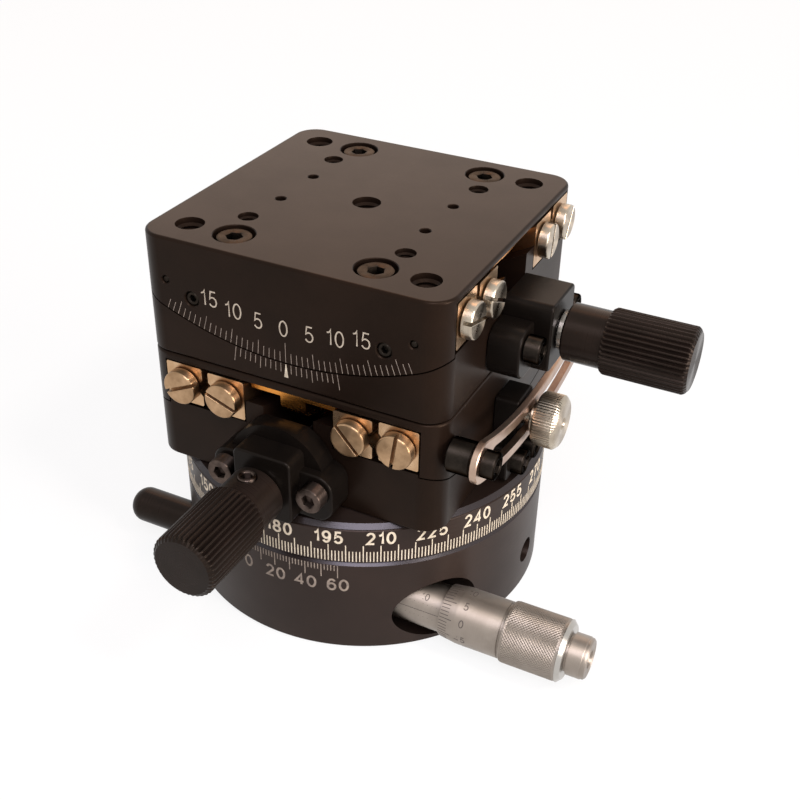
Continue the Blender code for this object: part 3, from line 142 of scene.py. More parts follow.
@dataclass(frozen=True)
class Finish:
    """A real material with its surface treatment.

    Attributes:
        name: Common name and treatment.
        slot: Material slot of the record; not used.
        colour: Main sRGB colour.
        shade: Second sRGB colour, in soft patches.
        metallic: 1 for bare or plated metal.
        roughness: Middle roughness.
        spread: How far roughness wanders from its middle.
        marks: Direction of the fine marks.
        grain: Spacing of the fine marks in millimetres.
        relief: Height of the fine marks in millimetres.
        patch: Size of the soft patches in millimetres.
        edge_tint: sRGB tint of the reflection at low angles.
        ior: Index of refraction, for what is not a metal.
    """

    name: str
    slot: str
    colour: str
    shade: str
    metallic: float
    roughness: float
    spread: float
    marks: Marks
    grain: float
    relief: float
    patch: float = 9.0
    edge_tint: str = "#ffffff"
    ior: float | None = None

    def material(self) -> bpy.types.Material:
        """Make the Blender material, once.

        Returns:
            The material.
        """
        made = bpy.data.materials.get(self.name)
        if made is not None:
            return made
        made = bpy.data.materials.new(self.name)
        made.use_nodes = True
        tree = made.node_tree
        shader = tree.nodes["Principled BSDF"]
        shader.inputs["Metallic"].default_value = self.metallic
        shader.inputs["Specular Tint"].default_value = linear(self.edge_tint)
        if self.ior is not None:
            shader.inputs["IOR"].default_value = self.ior
        if self.marks is Marks.TURNED:
            # The rings that a lathe leaves smear a highlight across them
            rings = add_node(tree, "Tangent", direction_type="RADIAL", axis="Z").outputs[0]
            tree.links.new(rings, shader.inputs["Tangent"])
            shader.inputs["Anisotropic"].default_value = RING_SMEAR
            shader.inputs["Anisotropic Rotation"].default_value = RING_TURN
        place = add_node(tree, "TexCoord").outputs["Object"]
        mm = add_node(tree, "VectorMath", {0: place, "Scale": 1 / MM}, operation="SCALE").outputs[0]
        patches = add_node(tree, "TexNoise", {"Vector": mm, "Scale": 1 / self.patch, "Detail": 4.0,
                                              "Roughness": 0.6}).outputs["Fac"]
        share = add_node(tree, "MapRange", {"Value": patches, "From Min": 0.35, "From Max": 0.65}).outputs[0]
        mix = add_node(tree, "Mix", {0: share, 6: linear(self.colour), 7: linear(self.shade)}, data_type="RGBA")
        tree.links.new(mix.outputs[2], shader.inputs["Base Color"])
        grain = self._grain(tree, mm)
        wander = add_node(tree, "Math", {0: patches, 1: grain}, operation="ADD").outputs[0]
        rough = add_node(tree, "MapRange", {"Value": wander, "From Min": 0.6, "From Max": 1.4,
                                            "To Min": self.roughness - self.spread,
                                            "To Max": self.roughness + self.spread}).outputs[0]
        tree.links.new(rough, shader.inputs["Roughness"])
        bump = add_node(tree, "Bump", {"Strength": 1.0, "Distance": self.relief * MM, "Height": grain})
        tree.links.new(bump.outputs[0], shader.inputs["Normal"])
        return made

    def _grain(self, tree: bpy.types.NodeTree, mm: bpy.types.NodeSocket) -> bpy.types.NodeSocket:
        """Return the height of the fine marks at each point.

        Args:
            tree: Node tree of the material.
            mm: The piece's own coordinates in millimetres.

        Returns:
            A socket with values about 0.5.
        """
        if self.marks is Marks.TURNED:
            # A lathe tool leaves rings, told apart by radius on a face and by height on a wall
            flat = add_node(tree, "VectorMath", {0: mm, 1: (1.0, 1.0, 0.0)}, operation="MULTIPLY").outputs[0]
            radius = add_node(tree, "VectorMath", {0: flat}, operation="LENGTH").outputs["Value"]
            height = add_node(tree, "SeparateXYZ", {0: mm}).outputs[2]
            along = add_node(tree, "Math", {0: radius, 1: height}, operation="ADD").outputs[0]
            noise = add_node(tree, "TexNoise", {"W": along, "Scale": 1 / self.grain, "Detail": 2.0},
                             noise_dimensions="1D")
            return noise.outputs["Fac"]
        stretch = (0.06, 1.0, 1.0) if self.marks is Marks.GROUND else (1.0, 1.0, 1.0)
        spot = add_node(tree, "VectorMath", {0: mm, 1: stretch}, operation="MULTIPLY").outputs[0]
        return add_node(tree, "TexNoise", {"Vector": spot, "Scale": 1 / self.grain, "Detail": 3.0}).outputs["Fac"]


# Aluminium, bead-blasted and anodised black: a warm black under a clear skin, so flats seen low turn pale
ANODISED = Finish("anodised_aluminium_blasted_black", "black_anodised", "#1c130e", "#160f0b", 0.0, 0.33, 0.04,
                  Marks.BLASTED, 0.30, 0.003, patch=14.0, edge_tint="#ffd8bc", ior=1.21)
# Aluminium bracket, milled and anodised black: a darker, more neutral copy of the anodised black, painted shade for
# the stage's shade that it sits in
ANODISED_PAINTED_SHADE = Finish("anodised_aluminium_black_painted_shade", "black_anodised", "#14100d", "#0f0c0a", 0.0, 0.30,
                          0.04, Marks.BLASTED, 0.30, 0.003, patch=8.0, edge_tint="#fff0e4", ior=1.19)
# Aluminium, turned and anodised black: the same skin with rings that smear the highlight up and down the wall
ANODISED_TURNED = Finish("anodised_aluminium_turned_black", "black_anodised", "#231a16", "#1c1512", 0.0, 0.36,
                         0.05, Marks.TURNED, 0.30, 0.004, patch=16.0, edge_tint="#ffe4d8", ior=1.36)
# The same aluminium where a fine cut broke its edges: smooth enough to show a pale line; the lilac tint of that
# reflection is painted
ANODISED_EDGE = Finish("anodised_aluminium_fine_turned_edge", "black_anodised", "#241d1a", "#1e1815", 0.0, 0.24,
                       0.04, Marks.PLAIN, 0.30, 0.002, patch=16.0, edge_tint="#f6f0fc", ior=1.46)
# Aluminium knob, turned and anodised black: a deep black between its ribs
KNOB_BLACK = Finish("anodised_aluminium_knob_black", "knob_black", "#1c1512", "#16110e", 0.0, 0.30, 0.05,
                    Marks.TURNED, 0.25, 0.003, patch=6.0, edge_tint="#ffe4d0", ior=1.24)
# Steel, nickel plated over turning marks: a bright metal whose tan colour is a painted reflection of a tan bench
NICKEL_PAINTED_REFLECTION = Finish("nickel_plated_steel_painted_bench_reflection", "nickel", "#b89775", "#9c7d5e", 1.0, 0.34, 0.06, Marks.TURNED,
                0.24, 0.010, patch=3.0)
# Steel, nickel plated and polished: the neutral bright silver of the thumb screws, edges almost white
NICKEL_BRIGHT = Finish("nickel_plated_steel_polished", "nickel", "#c4b8a6", "#a89b8b", 1.0, 0.30, 0.06,
                       Marks.TURNED, 0.24, 0.008, patch=3.0)
# Steel strap, nickel plated after stamping: bright with soft clouds, its pinkish tan a painted reflection of a warm
# bench
NICKEL_STRAP_PAINTED_REFLECTION = Finish("nickel_plated_steel_strap_painted_reflection", "nickel", "#c0a692", "#a5897a", 1.0, 0.32, 0.06,
                      Marks.BLASTED, 0.60, 0.002, patch=6.0)
# Bearing steel, hardened and ground, with straight fine grinding lines: its pale gold is a painted reflection of a
# warm bench
RAIL_STEEL_PAINTED_REFLECTION = Finish("bearing_steel_ground_painted_reflection", "rail_steel", "#cfae8b", "#b8946f", 1.0, 0.30, 0.05, Marks.GROUND,
                    0.20, 0.003, patch=4.0)
# Alloy steel screws with a thinned black oxide: brown grey, half dull
BLACK_OXIDE = Finish("alloy_steel_black_oxide", "tool_steel", "#5f524b", "#453b36", 1.0, 0.36, 0.07,
                     Marks.TURNED, 0.25, 0.004, patch=2.0, edge_tint="#c8c8c8")
# Alloy steel with a full black oxide, on the strap posts and the small screws: dark and quiet; on the upper bracket's
# screws and on the scale face's pins and set screws, its darkness is also painted shade
DARK_OXIDE_AND_PAINTED_SHADE = Finish("alloy_steel_dark_oxide_and_painted_shade", "knob_black", "#36302b", "#292420", 1.0, 0.36, 0.07,
                    Marks.TURNED, 0.25, 0.003, patch=2.0, edge_tint="#909090")
# Alloy steel with its black oxide whole, on the top table's sunk screws: near black, a glint on each edge
SUNK_OXIDE = Finish("alloy_steel_black_oxide_sunk", "tool_steel", "#3c342e", "#2d2722", 1.0, 0.31, 0.07,
                    Marks.TURNED, 0.25, 0.004, patch=2.0, edge_tint="#d8d4d0")
# Tool steel, ground shaft: plain grey and bright
SHAFT_STEEL = Finish("tool_steel_ground_shaft", "tool_steel", "#b9b2aa", "#a29a91", 1.0, 0.22, 0.05,
                     Marks.TURNED, 0.20, 0.002, patch=4.0)
# Stainless sheet of the roller cages: an even, slightly warm grey
CAGE_STEEL = Finish("stainless_steel_cage", "cage_steel", "#b5aea4", "#9f988e", 1.0, 0.30, 0.05,
                    Marks.BLASTED, 0.30, 0.002, patch=4.0)
# Brass, hobbed and left bare: orange gold, slightly dulled in patches
BRASS = Finish("brass_hobbed", "brass", "#f0a552", "#d48a3e", 1.0, 0.25, 0.07, Marks.GROUND, 0.30, 0.003,
               patch=5.0)
# Steel, satin chrome plated: the even silver grey of a micrometer, with no mirror in it; its warm tint is a painted
# reflection of a warm bench
SATIN_CHROME_PAINTED_WARM_REFLECTION = Finish("chrome_plated_steel_satin_painted_warm_reflection", "satin_chrome", "#ada298", "#a1968c", 1.0, 0.52, 0.05,
                      Marks.TURNED, 0.18, 0.002, patch=7.0)
# Steel, bright chrome plated, on the micrometer's polished edges: a clean pale line
BRIGHT_CHROME = Finish("chrome_plated_steel_bright", "satin_chrome", "#c2beb8", "#b6b1aa", 1.0, 0.34, 0.04,
                       Marks.TURNED, 0.20, 0.001, patch=5.0)
# Enamel wiped into engraved figures: dull cream, a little uneven where it was wiped
SCALE_PAINT = Finish("enamel_engraving_cream", "black_anodised", "#d8cdb8", "#c0b5a0", 0.0, 0.62, 0.06,
                     Marks.PLAIN, 0.20, 0.004, patch=1.6, ior=1.5)
# The same enamel in the tilt scale's thin figures, greyer because so little of it shows
GREY_PAINT = Finish("enamel_engraving_grey", "black_anodised", "#bdb2a0", "#a89d8c", 0.0, 0.62, 0.06,
                    Marks.PLAIN, 0.20, 0.004, patch=1.6, ior=1.5)
# The same enamel in hair lines and on the worn body, a shade browner because the line is part filled
WORN_PAINT = Finish("enamel_engraving_beige", "black_anodised", "#94877a", "#72675f", 0.0, 0.65, 0.06,
                    Marks.PLAIN, 0.20, 0.004, patch=1.2, ior=1.5)
# Black enamel in the micrometer's fine lines, greyed by their size
DARK_PAINT = Finish("enamel_engraving_black", "satin_chrome", "#4a423e", "#5c534d", 0.0, 0.60, 0.06,
                    Marks.PLAIN, 0.20, 0.002, patch=1.6, ior=1.5)


# Shapes

class Shape:
    """A closed mesh in millimetres, under construction."""

    def __init__(self) -> None:
        """Start with an empty mesh."""
        self.mesh = bmesh.new()

    @classmethod
    def loft(cls, rings: Sequence[Sequence[Point]], closed: bool = False) -> Shape:
        """Join rings of equal length by quads.

        Args:
            rings: Rings of points, in order.
            closed: True if the last ring joins the first; otherwise both ends are capped.

        Returns:
            The shape.
        """
        shape = cls()
        rows = [[shape.mesh.verts.new(point) for point in ring] for ring in rings]
        for low, high in list(zip(rows, rows[1:])) + ([(rows[-1], rows[0])] if closed else []):
            for i in range(len(low)):
                j = (i + 1) % len(low)
                shape.mesh.faces.new((low[i], low[j], high[j], high[i]))
        if not closed:
            shape.mesh.faces.new(reversed(rows[0]))
            shape.mesh.faces.new(rows[-1])
        bmesh.ops.recalc_face_normals(shape.mesh, faces=shape.mesh.faces)
        return shape

    @classmethod
    def turned(cls, profile: Sequence[Flat | Ring], sides: int, hoop: bool = False) -> Shape:
        """Turn a profile of (radius, height) points and ready rings about Z; a hoop closes on itself."""
        return cls.loft([circle(*step, sides) if isinstance(step, tuple) else step for step in profile], hoop)

    @classmethod
    def rod(cls, radius: float, low: float, high: float, sides: int) -> Shape:
        """Make a plain round bar, used as a cutter."""
        return cls.turned([(radius, low), (radius, high)], sides)

    @classmethod
    def prism(cls, outline: Sequence[Flat], low: float, high: float) -> Shape:
        """Extrude a flat outline from one height to another."""
        return cls.loft([[(x, y, z) for x, y in outline] for z in (low, high)])

    @classmethod
    def arc(cls, section: Sequence[Flat], half_length: float, steps: int = 44) -> Shape:
        """Sweep a section about the Y axis, with upright ends.

        Args:
            section: Points as (across, radius).
            half_length: Half the length along X, the same at each radius.
            steps: Faces along the sweep.

        Returns:
            The shape.
        """
        rings = []
        for k in range(steps + 1):
            turns = [(2 * k / steps - 1) * math.asin(half_length / radius) for _, radius in section]
            rings.append([(radius * math.sin(turn), across, -radius * math.cos(turn))
                          for (across, radius), turn in zip(section, turns)])
        return cls.loft(rings)

    def moved(self, matrix: Matrix) -> Shape:
        """Move every point and return the shape."""
        self.mesh.transform(matrix)
        return self

    def with_parts(self, others: Iterable[Shape]) -> Shape:
        """Add shapes that don't touch this one.

        Args:
            others: The shapes, which are used up.

        Returns:
            This shape, changed.
        """
        for other in others:
            mesh = other.to_mesh("part")
            self.mesh.from_mesh(mesh)
            bpy.data.meshes.remove(mesh)
        return self

    def combined(self, other: Shape, operation: str = "DIFFERENCE") -> Shape:
        """Cut away, join or keep the overlap with another closed shape.

        Args:
            other: The tool, which is used up.
            operation: Blender's name for the boolean operation.

        Returns:
            This shape, changed.
        """
        work, tool = [bpy.data.objects.new("work", part.to_mesh("work")) for part in (self, other)]
        for item in (work, tool):
            bpy.context.scene.collection.objects.link(item)
        change = work.modifiers.new("change", "BOOLEAN")
        change.operation, change.solver, change.object = operation, "EXACT", tool
        result = bpy.data.meshes.new_from_object(work.evaluated_get(bpy.context.evaluated_depsgraph_get()))
        self.mesh = bmesh.new()
        self.mesh.from_mesh(result)
        for item in (work, tool):
            old = item.data
            bpy.data.objects.remove(item)
            bpy.data.meshes.remove(old)
        bpy.data.meshes.remove(result)
        return self

    def mapped(self, spot: Callable[[Vector], Vector]) -> Shape:
        """Move each point where a function puts it.

        Args:
            spot: The function, from old place to new.

        Returns:
            This shape, changed.
        """
        for vertex in self.mesh.verts:
            vertex.co = spot(vertex.co)
        return self

    def to_mesh(self, name: str) -> bpy.types.Mesh:
        """Write the shape to a mesh and free it.

        Args:
            name: The mesh's name.

        Returns:
            The mesh.
        """
        mesh = bpy.data.meshes.new(name)
        self.mesh.to_mesh(mesh)
        self.mesh.free()
        return mesh


def polar(radius: float, turn: float, height: float) -> Point:
    """Return the point at this radius and this turn about Z in radians."""
    return radius * math.cos(turn), radius * math.sin(turn), height


def circle(radius: float, height: float, sides: int) -> Ring:
    """Return a ring of points about Z."""
    return [polar(radius, math.tau * i / sides, height) for i in range(sides)]


def hexagon(radius: float, height: float, sides: int) -> Ring:
    """Return a hexagon with as many points as a circle has.

    Args:
        radius: Its corner radius.
        height: Its Z.
        sides: Number of points.

    Returns:
        The ring.
    """
    ring = []
    for i in range(sides):
        turn = math.tau * i / sides
        reach = radius * math.cos(math.pi / 6) / math.cos(turn % (math.pi / 3) - math.pi / 6)
        ring.append(polar(reach, turn, height))
    return ring


def ribbed(crest: float, depth: float, height: float, ribs: int) -> Ring:
    """Return a ring with round-topped ribs.

    Args:
        crest: Radius over the ribs.
        depth: Height of a rib.
        height: The ring's Z.
        ribs: Number of ribs.

    Returns:
        The ring, with len(RIB_WAVE) points to a rib.
    """
    count = ribs * len(RIB_WAVE)
    return [polar(crest - depth * (1 - RIB_WAVE[i % len(RIB_WAVE)]), math.tau * i / count, height)
            for i in range(count)]


def oblong(low: Flat, high: Flat) -> list[Flat]:
    """Return a rectangle's corners, counter-clockwise."""
    return [low, (high[0], low[1]), high, (low[0], high[1])]


def mirrored(points: Sequence[Flat]) -> list[Flat]:
    """Return an outline's other half, from its last point back to its first."""
    return [(-across, radius) for across, radius in reversed(points)]


def rounded_outline(low: Flat, high: Flat, radius: float, steps: int = 8) -> list[Flat]:
    """Return a rectangle with round corners, counter-clockwise.

    Args:
        low: Lowest X and Y.
        high: Highest X and Y.
        radius: Corner radius.
        steps: Faces in a corner.

    Returns:
        Its points.
    """
    centres = ((high[0] - radius, high[1] - radius), (low[0] + radius, high[1] - radius),
               (low[0] + radius, low[1] + radius), (high[0] - radius, low[1] + radius))
    points = []
    for quarter, (x, y) in enumerate(centres):
        for i in range(steps + 1):
            turn = math.pi / 2 * (quarter + i / steps)
            points.append((x + radius * math.cos(turn), y + radius * math.sin(turn)))
    return points


def eased_block(low: Flat, high: Flat, radius: float, bottom: float, top: float, ease_bottom: float,
                ease_top: float, steps: int = 8) -> Shape:
    """Make a block with round corners and eased edges.

    Args:
        low: Lowest X and Y.
        high: Highest X and Y.
        radius: Corner radius.
        bottom: Lowest Z.
        top: Highest Z.
        ease_bottom: Rounding of the bottom edge.
        ease_top: Rounding of the top edge.
        steps: Faces in a corner.

    Returns:
        The shape.
    """
    rings = []
    quarter = [(1 - math.cos(math.pi / 2 * i / 3), 1 - math.sin(math.pi / 2 * i / 3)) for i in range(4)]
    stations = [(ease_bottom * fall, bottom + ease_bottom * lift) for lift, fall in quarter]
    stations += [(ease_top * fall, top - ease_top * lift) for fall, lift in quarter]
    # An edge that isn't eased gives the same station several times, and it is used once
    for z, inset in sorted({(round(z, 6), round(inset, 6)) for inset, z in stations}):
        outline = rounded_outline((low[0] + inset, low[1] + inset), (high[0] - inset, high[1] - inset),
                                  max(radius - inset, 0.05), steps)
        rings.append([(x, y, z) for x, y in outline])
    return Shape.loft(rings)


def drill(radius: float, depth: float, sides: int, flare: float) -> Shape:
    """Make a cutter for a plain hole with a broken edge, downwards from Z 0."""
    return Shape.turned([(radius, -depth), (radius, -flare), (radius + flare, 0), (radius + flare, OVERRUN)], sides)


def tap(radius: float, pitch: float, depth: float) -> Shape:
    """Make a cutter for a threaded hole: a countersink, then thread flanks all the way down.

    Args:
        radius: Radius over the thread.
        pitch: Height of one turn.
        depth: Depth of the hole.

    Returns:
        The cutter, downwards from Z 0.
    """
    core, mouth = radius - pitch * 0.54, radius + 0.1
    profile = [(core, -depth)]
    for turn in range(int(depth / pitch) - 1, 0, -1):
        profile += [(core, -pitch * (turn + 0.55)), (radius, -pitch * (turn + 0.1)), (core, -pitch * (turn - 0.35))]
    return Shape.turned(profile[:-1] + [(radius, -pitch * 0.6), (mouth, 0), (mouth, OVERRUN)], 36)


@dataclass
class Bench:
    """Places finished pieces on the frame and reports them.

    Attributes:
        nodes: The CAD nodes by name.
    """

    nodes: dict[str, bpy.types.Object]

    def add(self, name: str, shape: Shape, finish: Finish, body: str, place: Matrix = Matrix.Identity(4),
            replaces: Sequence[str] = ()) -> None:
        """Place one piece.

        Args:
            name: The piece's name.
            shape: Its shape in millimetres, which is used up.
            finish: Its finish.
            body: CAD body that it rides on.
            place: Where its own frame lies in the row frame, in millimetres.
            replaces: CAD nodes that it stands for.
        """
        shape.moved(Matrix.Diagonal((MM, MM, MM, 1)))
        mesh = shape.to_mesh(name)
        mesh.shade_smooth()
        mesh.set_sharp_from_angle(angle=math.radians(SMOOTH_DEG))
        mesh.materials.append(finish.material())
        piece = bpy.data.objects.new(name, mesh)
        bpy.context.scene.collection.objects.link(piece)
        piece.matrix_world = Matrix.Translation(place.translation * MM) @ place.to_3x3().to_4x4()
        even = piece.modifiers.new("even_normals", "WEIGHTED_NORMAL")
        even.keep_sharp = True
        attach(piece, body)
        if replaces:
            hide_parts(*replaces)
        LOG.info("%s rides on %s, %d faces, %s", name, body, len(mesh.polygons), finish.name)

    def dress(self, node: str, way: str, shape: Shape, finish: Finish, body: str,
              place: Matrix = Matrix.Identity(4)) -> None:
        """Place a piece that stands for a CAD node, named for the node and for the way it was made."""
        self.add(f"{node}_{way}", shape, finish, body, place, [node])

    def keep(self, node: str, finish: Finish) -> None:
        """Leave a CAD node in place and give it its finish.

        Args:
            node: The node's name.
            finish: Its finish.
        """
        piece = self.nodes[node]
        piece.data.materials.clear()
        piece.data.materials.append(finish.material())
        LOG.info("%s stays as the CAD has it, %s", node, finish.name)


@dataclass
class Assembly:
    """A group of pieces with its sizes, and the bench that places them."""

    bench: Bench


# Screws

@dataclass(frozen=True)
class CapScrew:
    """A socket cap screw, its origin under the head."""

    thread: float
    length: float
    head: float
    height: float
    socket: float
    depth: float
    sides: int = 48

    def shape(self) -> Shape:
        """Make the shank, the eased head, and the hexagon socket with its drill point.

        Returns:
            The screw.
        """
        thread, head, high, ease = self.thread, self.head, self.height, 0.12 * self.head
        floor = high - self.depth
        return Shape.turned([
            (thread - 0.2, -self.length), (thread, 0.2 - self.length), (thread, 0), (head - 0.1, 0), (head, 0.1),
            (head, high - ease), (head - ease * 0.3, high - ease * 0.3), (head - ease, high),
            (self.socket + 0.12, high), hexagon(self.socket, high - 0.12, self.sides),
            hexagon(self.socket, floor, self.sides), (self.socket * 0.7, floor), (0.05, floor - 0.3)], self.sides)


@dataclass(frozen=True)
class SlottedScrew:
    """A slotted cheese-head screw, its origin under the head."""

    thread: float = 1.5
    length: float = 4.3
    head: float = 3.65
    height: float = 2.1
    slot_width: float = 0.75
    slot_depth: float = 1.6
    ease: float = 0.4
    sides: int = 56

    def shape(self) -> Shape:
        """Make the screw with its slot along X.

        Returns:
            The screw.
        """
        high, half = self.height, self.slot_width / 2
        profile = [(self.thread, -self.length), (self.thread, 0), (self.head - 0.1, 0), (self.head, 0.1)]
        for step in range(5):
            turn = math.pi / 2 * step / 4
            profile.append((self.head - self.ease * (1 - math.cos(turn)), high - self.ease * (1 - math.sin(turn))))
        flank = [(half, high - self.slot_depth), (half, high - SLOT_BREAK), (half + SLOT_BREAK, high),
                 (half + SLOT_BREAK, high + OVERRUN)]
        section = mirrored(flank)[-1:] + flank + mirrored(flank)[:-1]
        reach = self.head + OVERRUN
        slot = Shape.loft([[(x, y, z) for y, z in section] for x in (-reach, reach)])
        return Shape.turned(profile, self.sides).combined(slot)


M3_CAP = CapScrew(1.5, 11.5, 2.75, 3.0, 1.44, 1.5)
M3_POST_CAP = CapScrew(1.5, 1.5, 2.75, 2.6, 1.44, 1.5)
M3_BLOCK_CAP = CapScrew(1.5, 3.0, 2.75, 2.9, 1.44, 1.5)
M4_CAP = CapScrew(1.9, 8.5, 3.5, 3.8, 1.73, 2.0)
STOP_SCREW = SlottedScrew()
FAR_STOP_SCREW = SlottedScrew(1.5, 3.9, 1.7, 0.4, 0.55, 1.0, 0.15)


# Engraved scales

def bend(centre: Flat, size: Flat, first: float, last: float, steps: int = 10) -> list[Flat]:
    """Return points on an ellipse's arc, its turns in degrees."""
    turns = [math.radians(first + (last - first) * k / steps) for k in range(steps + 1)]
    return [(centre[0] + size[0] * math.cos(t), centre[1] + size[1] * math.sin(t)) for t in turns]


def ring_stroke(centre: Flat, size: Flat) -> list[Flat]:
    """Return a closed oval stroke, its first point repeated at its end."""
    return bend(centre, size, 0, 360, 28)


# The middle lines of an engraver's figures, one unit high: width, then strokes
SIX = [ring_stroke((0.28, 0.31), (0.26, 0.31)), [(0.02, 0.31)] + bend((0.30, 0.50), (0.28, 0.50), 180, 42, 12)]
FIGURES: dict[str, tuple[float, list[list[Flat]]]] = {
    "0": (0.56, [ring_stroke((0.28, 0.50), (0.28, 0.50))]),
    "1": (0.30, [[(0.02, 0.77), (0.18, 0.82), (0.27, 0.93), (0.29, 1.0), (0.29, 0.0)]]),
    "2": (0.54, [bend((0.28, 0.72), (0.25, 0.28), 168, -32, 14) + [(0.03, 0.0), (0.54, 0.0)]]),
    "3": (0.54, [bend((0.27, 0.75), (0.23, 0.25), 160, -90, 12), bend((0.27, 0.26), (0.27, 0.26), 90, -160, 12)]),
    "4": (0.58, [[(0.43, 0.0), (0.43, 1.0), (0.0, 0.27), (0.58, 0.27)]]),
    "5": (0.55, [[(0.50, 1.0), (0.12, 1.0), (0.05, 0.50)] + bend((0.27, 0.31), (0.28, 0.31), 128, -152, 14)]),
    "6": (0.55, SIX),
    "7": (0.54, [[(0.0, 1.0), (0.54, 1.0), (0.30, 0.55), (0.20, 0.0)]]),
    "8": (0.55, [ring_stroke((0.275, 0.76), (0.22, 0.24)), ring_stroke((0.275, 0.26), (0.27, 0.26))]),
    "9": (0.55, [[(0.56 - x, 1.0 - y) for x, y in stroke] for stroke in SIX]),
}
FIGURE_GAP = 0.26
# Crossing strokes of a figure differ this much in height, so that no two faces lie in one plane
STROKE_STEP = 0.004


def stroke_shape(path: Sequence[Flat], half: float, proud: float) -> Shape:
    """Give a path an even width with mitred corners.

    Args:
        path: Its points; if the last repeats the first, the stroke is closed.
        half: Half its width.
        proud: Half its height.

    Returns:
        The shape, about Z 0.
    """
    closed = math.dist(path[0], path[-1]) < 1e-6
    points = [Vector(p) for p in (path[:-1] if closed else path)]
    rings = []
    for i, spot in enumerate(points):
        before = points[i - 1] if closed or i else spot * 2 - points[1]
        after = points[(i + 1) % len(points)] if closed or i + 1 < len(points) else spot * 2 - before
        into, out = (spot - before).normalized(), (after - spot).normalized()
        across = Vector((-(into + out).y, (into + out).x)).normalized()
        reach = across * half / max(0.45, across.dot(Vector((-into.y, into.x))))
        left, right = spot + reach, spot - reach
        rings.append([(left.x, left.y, -proud), (right.x, right.y, -proud), (right.x, right.y, proud),
                      (left.x, left.y, proud)])
    return Shape.loft(rings, closed)


@dataclass
class Scale:
    """Paint-filled ticks and figures that lie on one surface.

    Attributes:
        name: The piece's name.
        finish: The paint.
        body: CAD body that it rides on.
        place: Frame of the surface: X along the scale, Y up, Z out of it, in millimetres.
        wrap: Radius of the wall that the scale is wrapped round, or 0 on a flat face.
        proud: How far the paint stands out of the surface.
        parts: The marks so far.
    """

    name: str
    finish: Finish
    body: str
    place: Matrix
    wrap: float = 0.0
    proud: float = 0.03
    parts: list[Shape] = field(default_factory=list)

    def tick(self, place: Matrix, low: float, high: float, width: float, end_width: float | None = None) -> None:
        """Add a tick mark along Y.

        Args:
            place: Where its own frame lies on the surface.
            low: Its foot.
            high: Its end.
            width: Its width.
            end_width: Width at its end, if that is another.
        """
        half, end = width / 2, (width if end_width is None else end_width) / 2
        outline = [(-half, low), (half, low), (end, high), (-end, high)]
        self.parts.append(Shape.prism(outline, -self.proud, self.proud).moved(place))

    def number(self, text: str, place: Matrix, height: float, weight: float, narrow: float = 1.0) -> None:
        """Add a number.

        Args:
            text: Its figures.
            place: Where the middle of its foot line lies on the surface.
            height: Height of a figure, strokes included.
            weight: Width of a stroke as a share of the height between middle lines.
            narrow: Width of the figures against the usual.
        """
        size = height / (1 + weight)
        widths = [FIGURES[figure][0] * narrow for figure in text]
        gap = FIGURE_GAP + weight * 0.5
        start = -(sum(widths) + gap * (len(text) - 1)) / 2
        for figure, width in zip(text, widths):
            for level, stroke in enumerate(FIGURES[figure][1]):
                path = [((start + x * narrow) * size, (y + weight / 2) * size) for x, y in stroke]
                shape = stroke_shape(path, weight * size / 2, self.proud - STROKE_STEP * level)
                self.parts.append(shape.moved(place))
            start += width + gap

    def on_wall(self, spot: Vector) -> Vector:
        """Return a point of the flat scale wrapped round the wall."""
        turn, radius = spot.x / self.wrap, self.wrap + spot.z
        return Vector((radius * math.sin(turn), spot.y, radius * math.cos(turn)))

    def lay(self, bench: Bench) -> None:
        """Wrap the marks on their surface and place them as one piece.

        Args:
            bench: The bench that places them.
        """
        whole = Shape().with_parts(self.parts)
        if self.wrap:
            whole.mapped(self.on_wall)
        bench.add(self.name, whole, self.finish, self.body, self.place)


# Rotary stage at the bottom

@dataclass
class OnDriveLine(Assembly):
    """An assembly on the line that the micrometer and its return spring share."""

    drive_offset: float = -25.4
    drive_height: float = 8.7

    @property
    def drive(self) -> Matrix:
        """Place of the line in the rotation plane."""
        return at(0, self.drive_offset, self.drive_height)


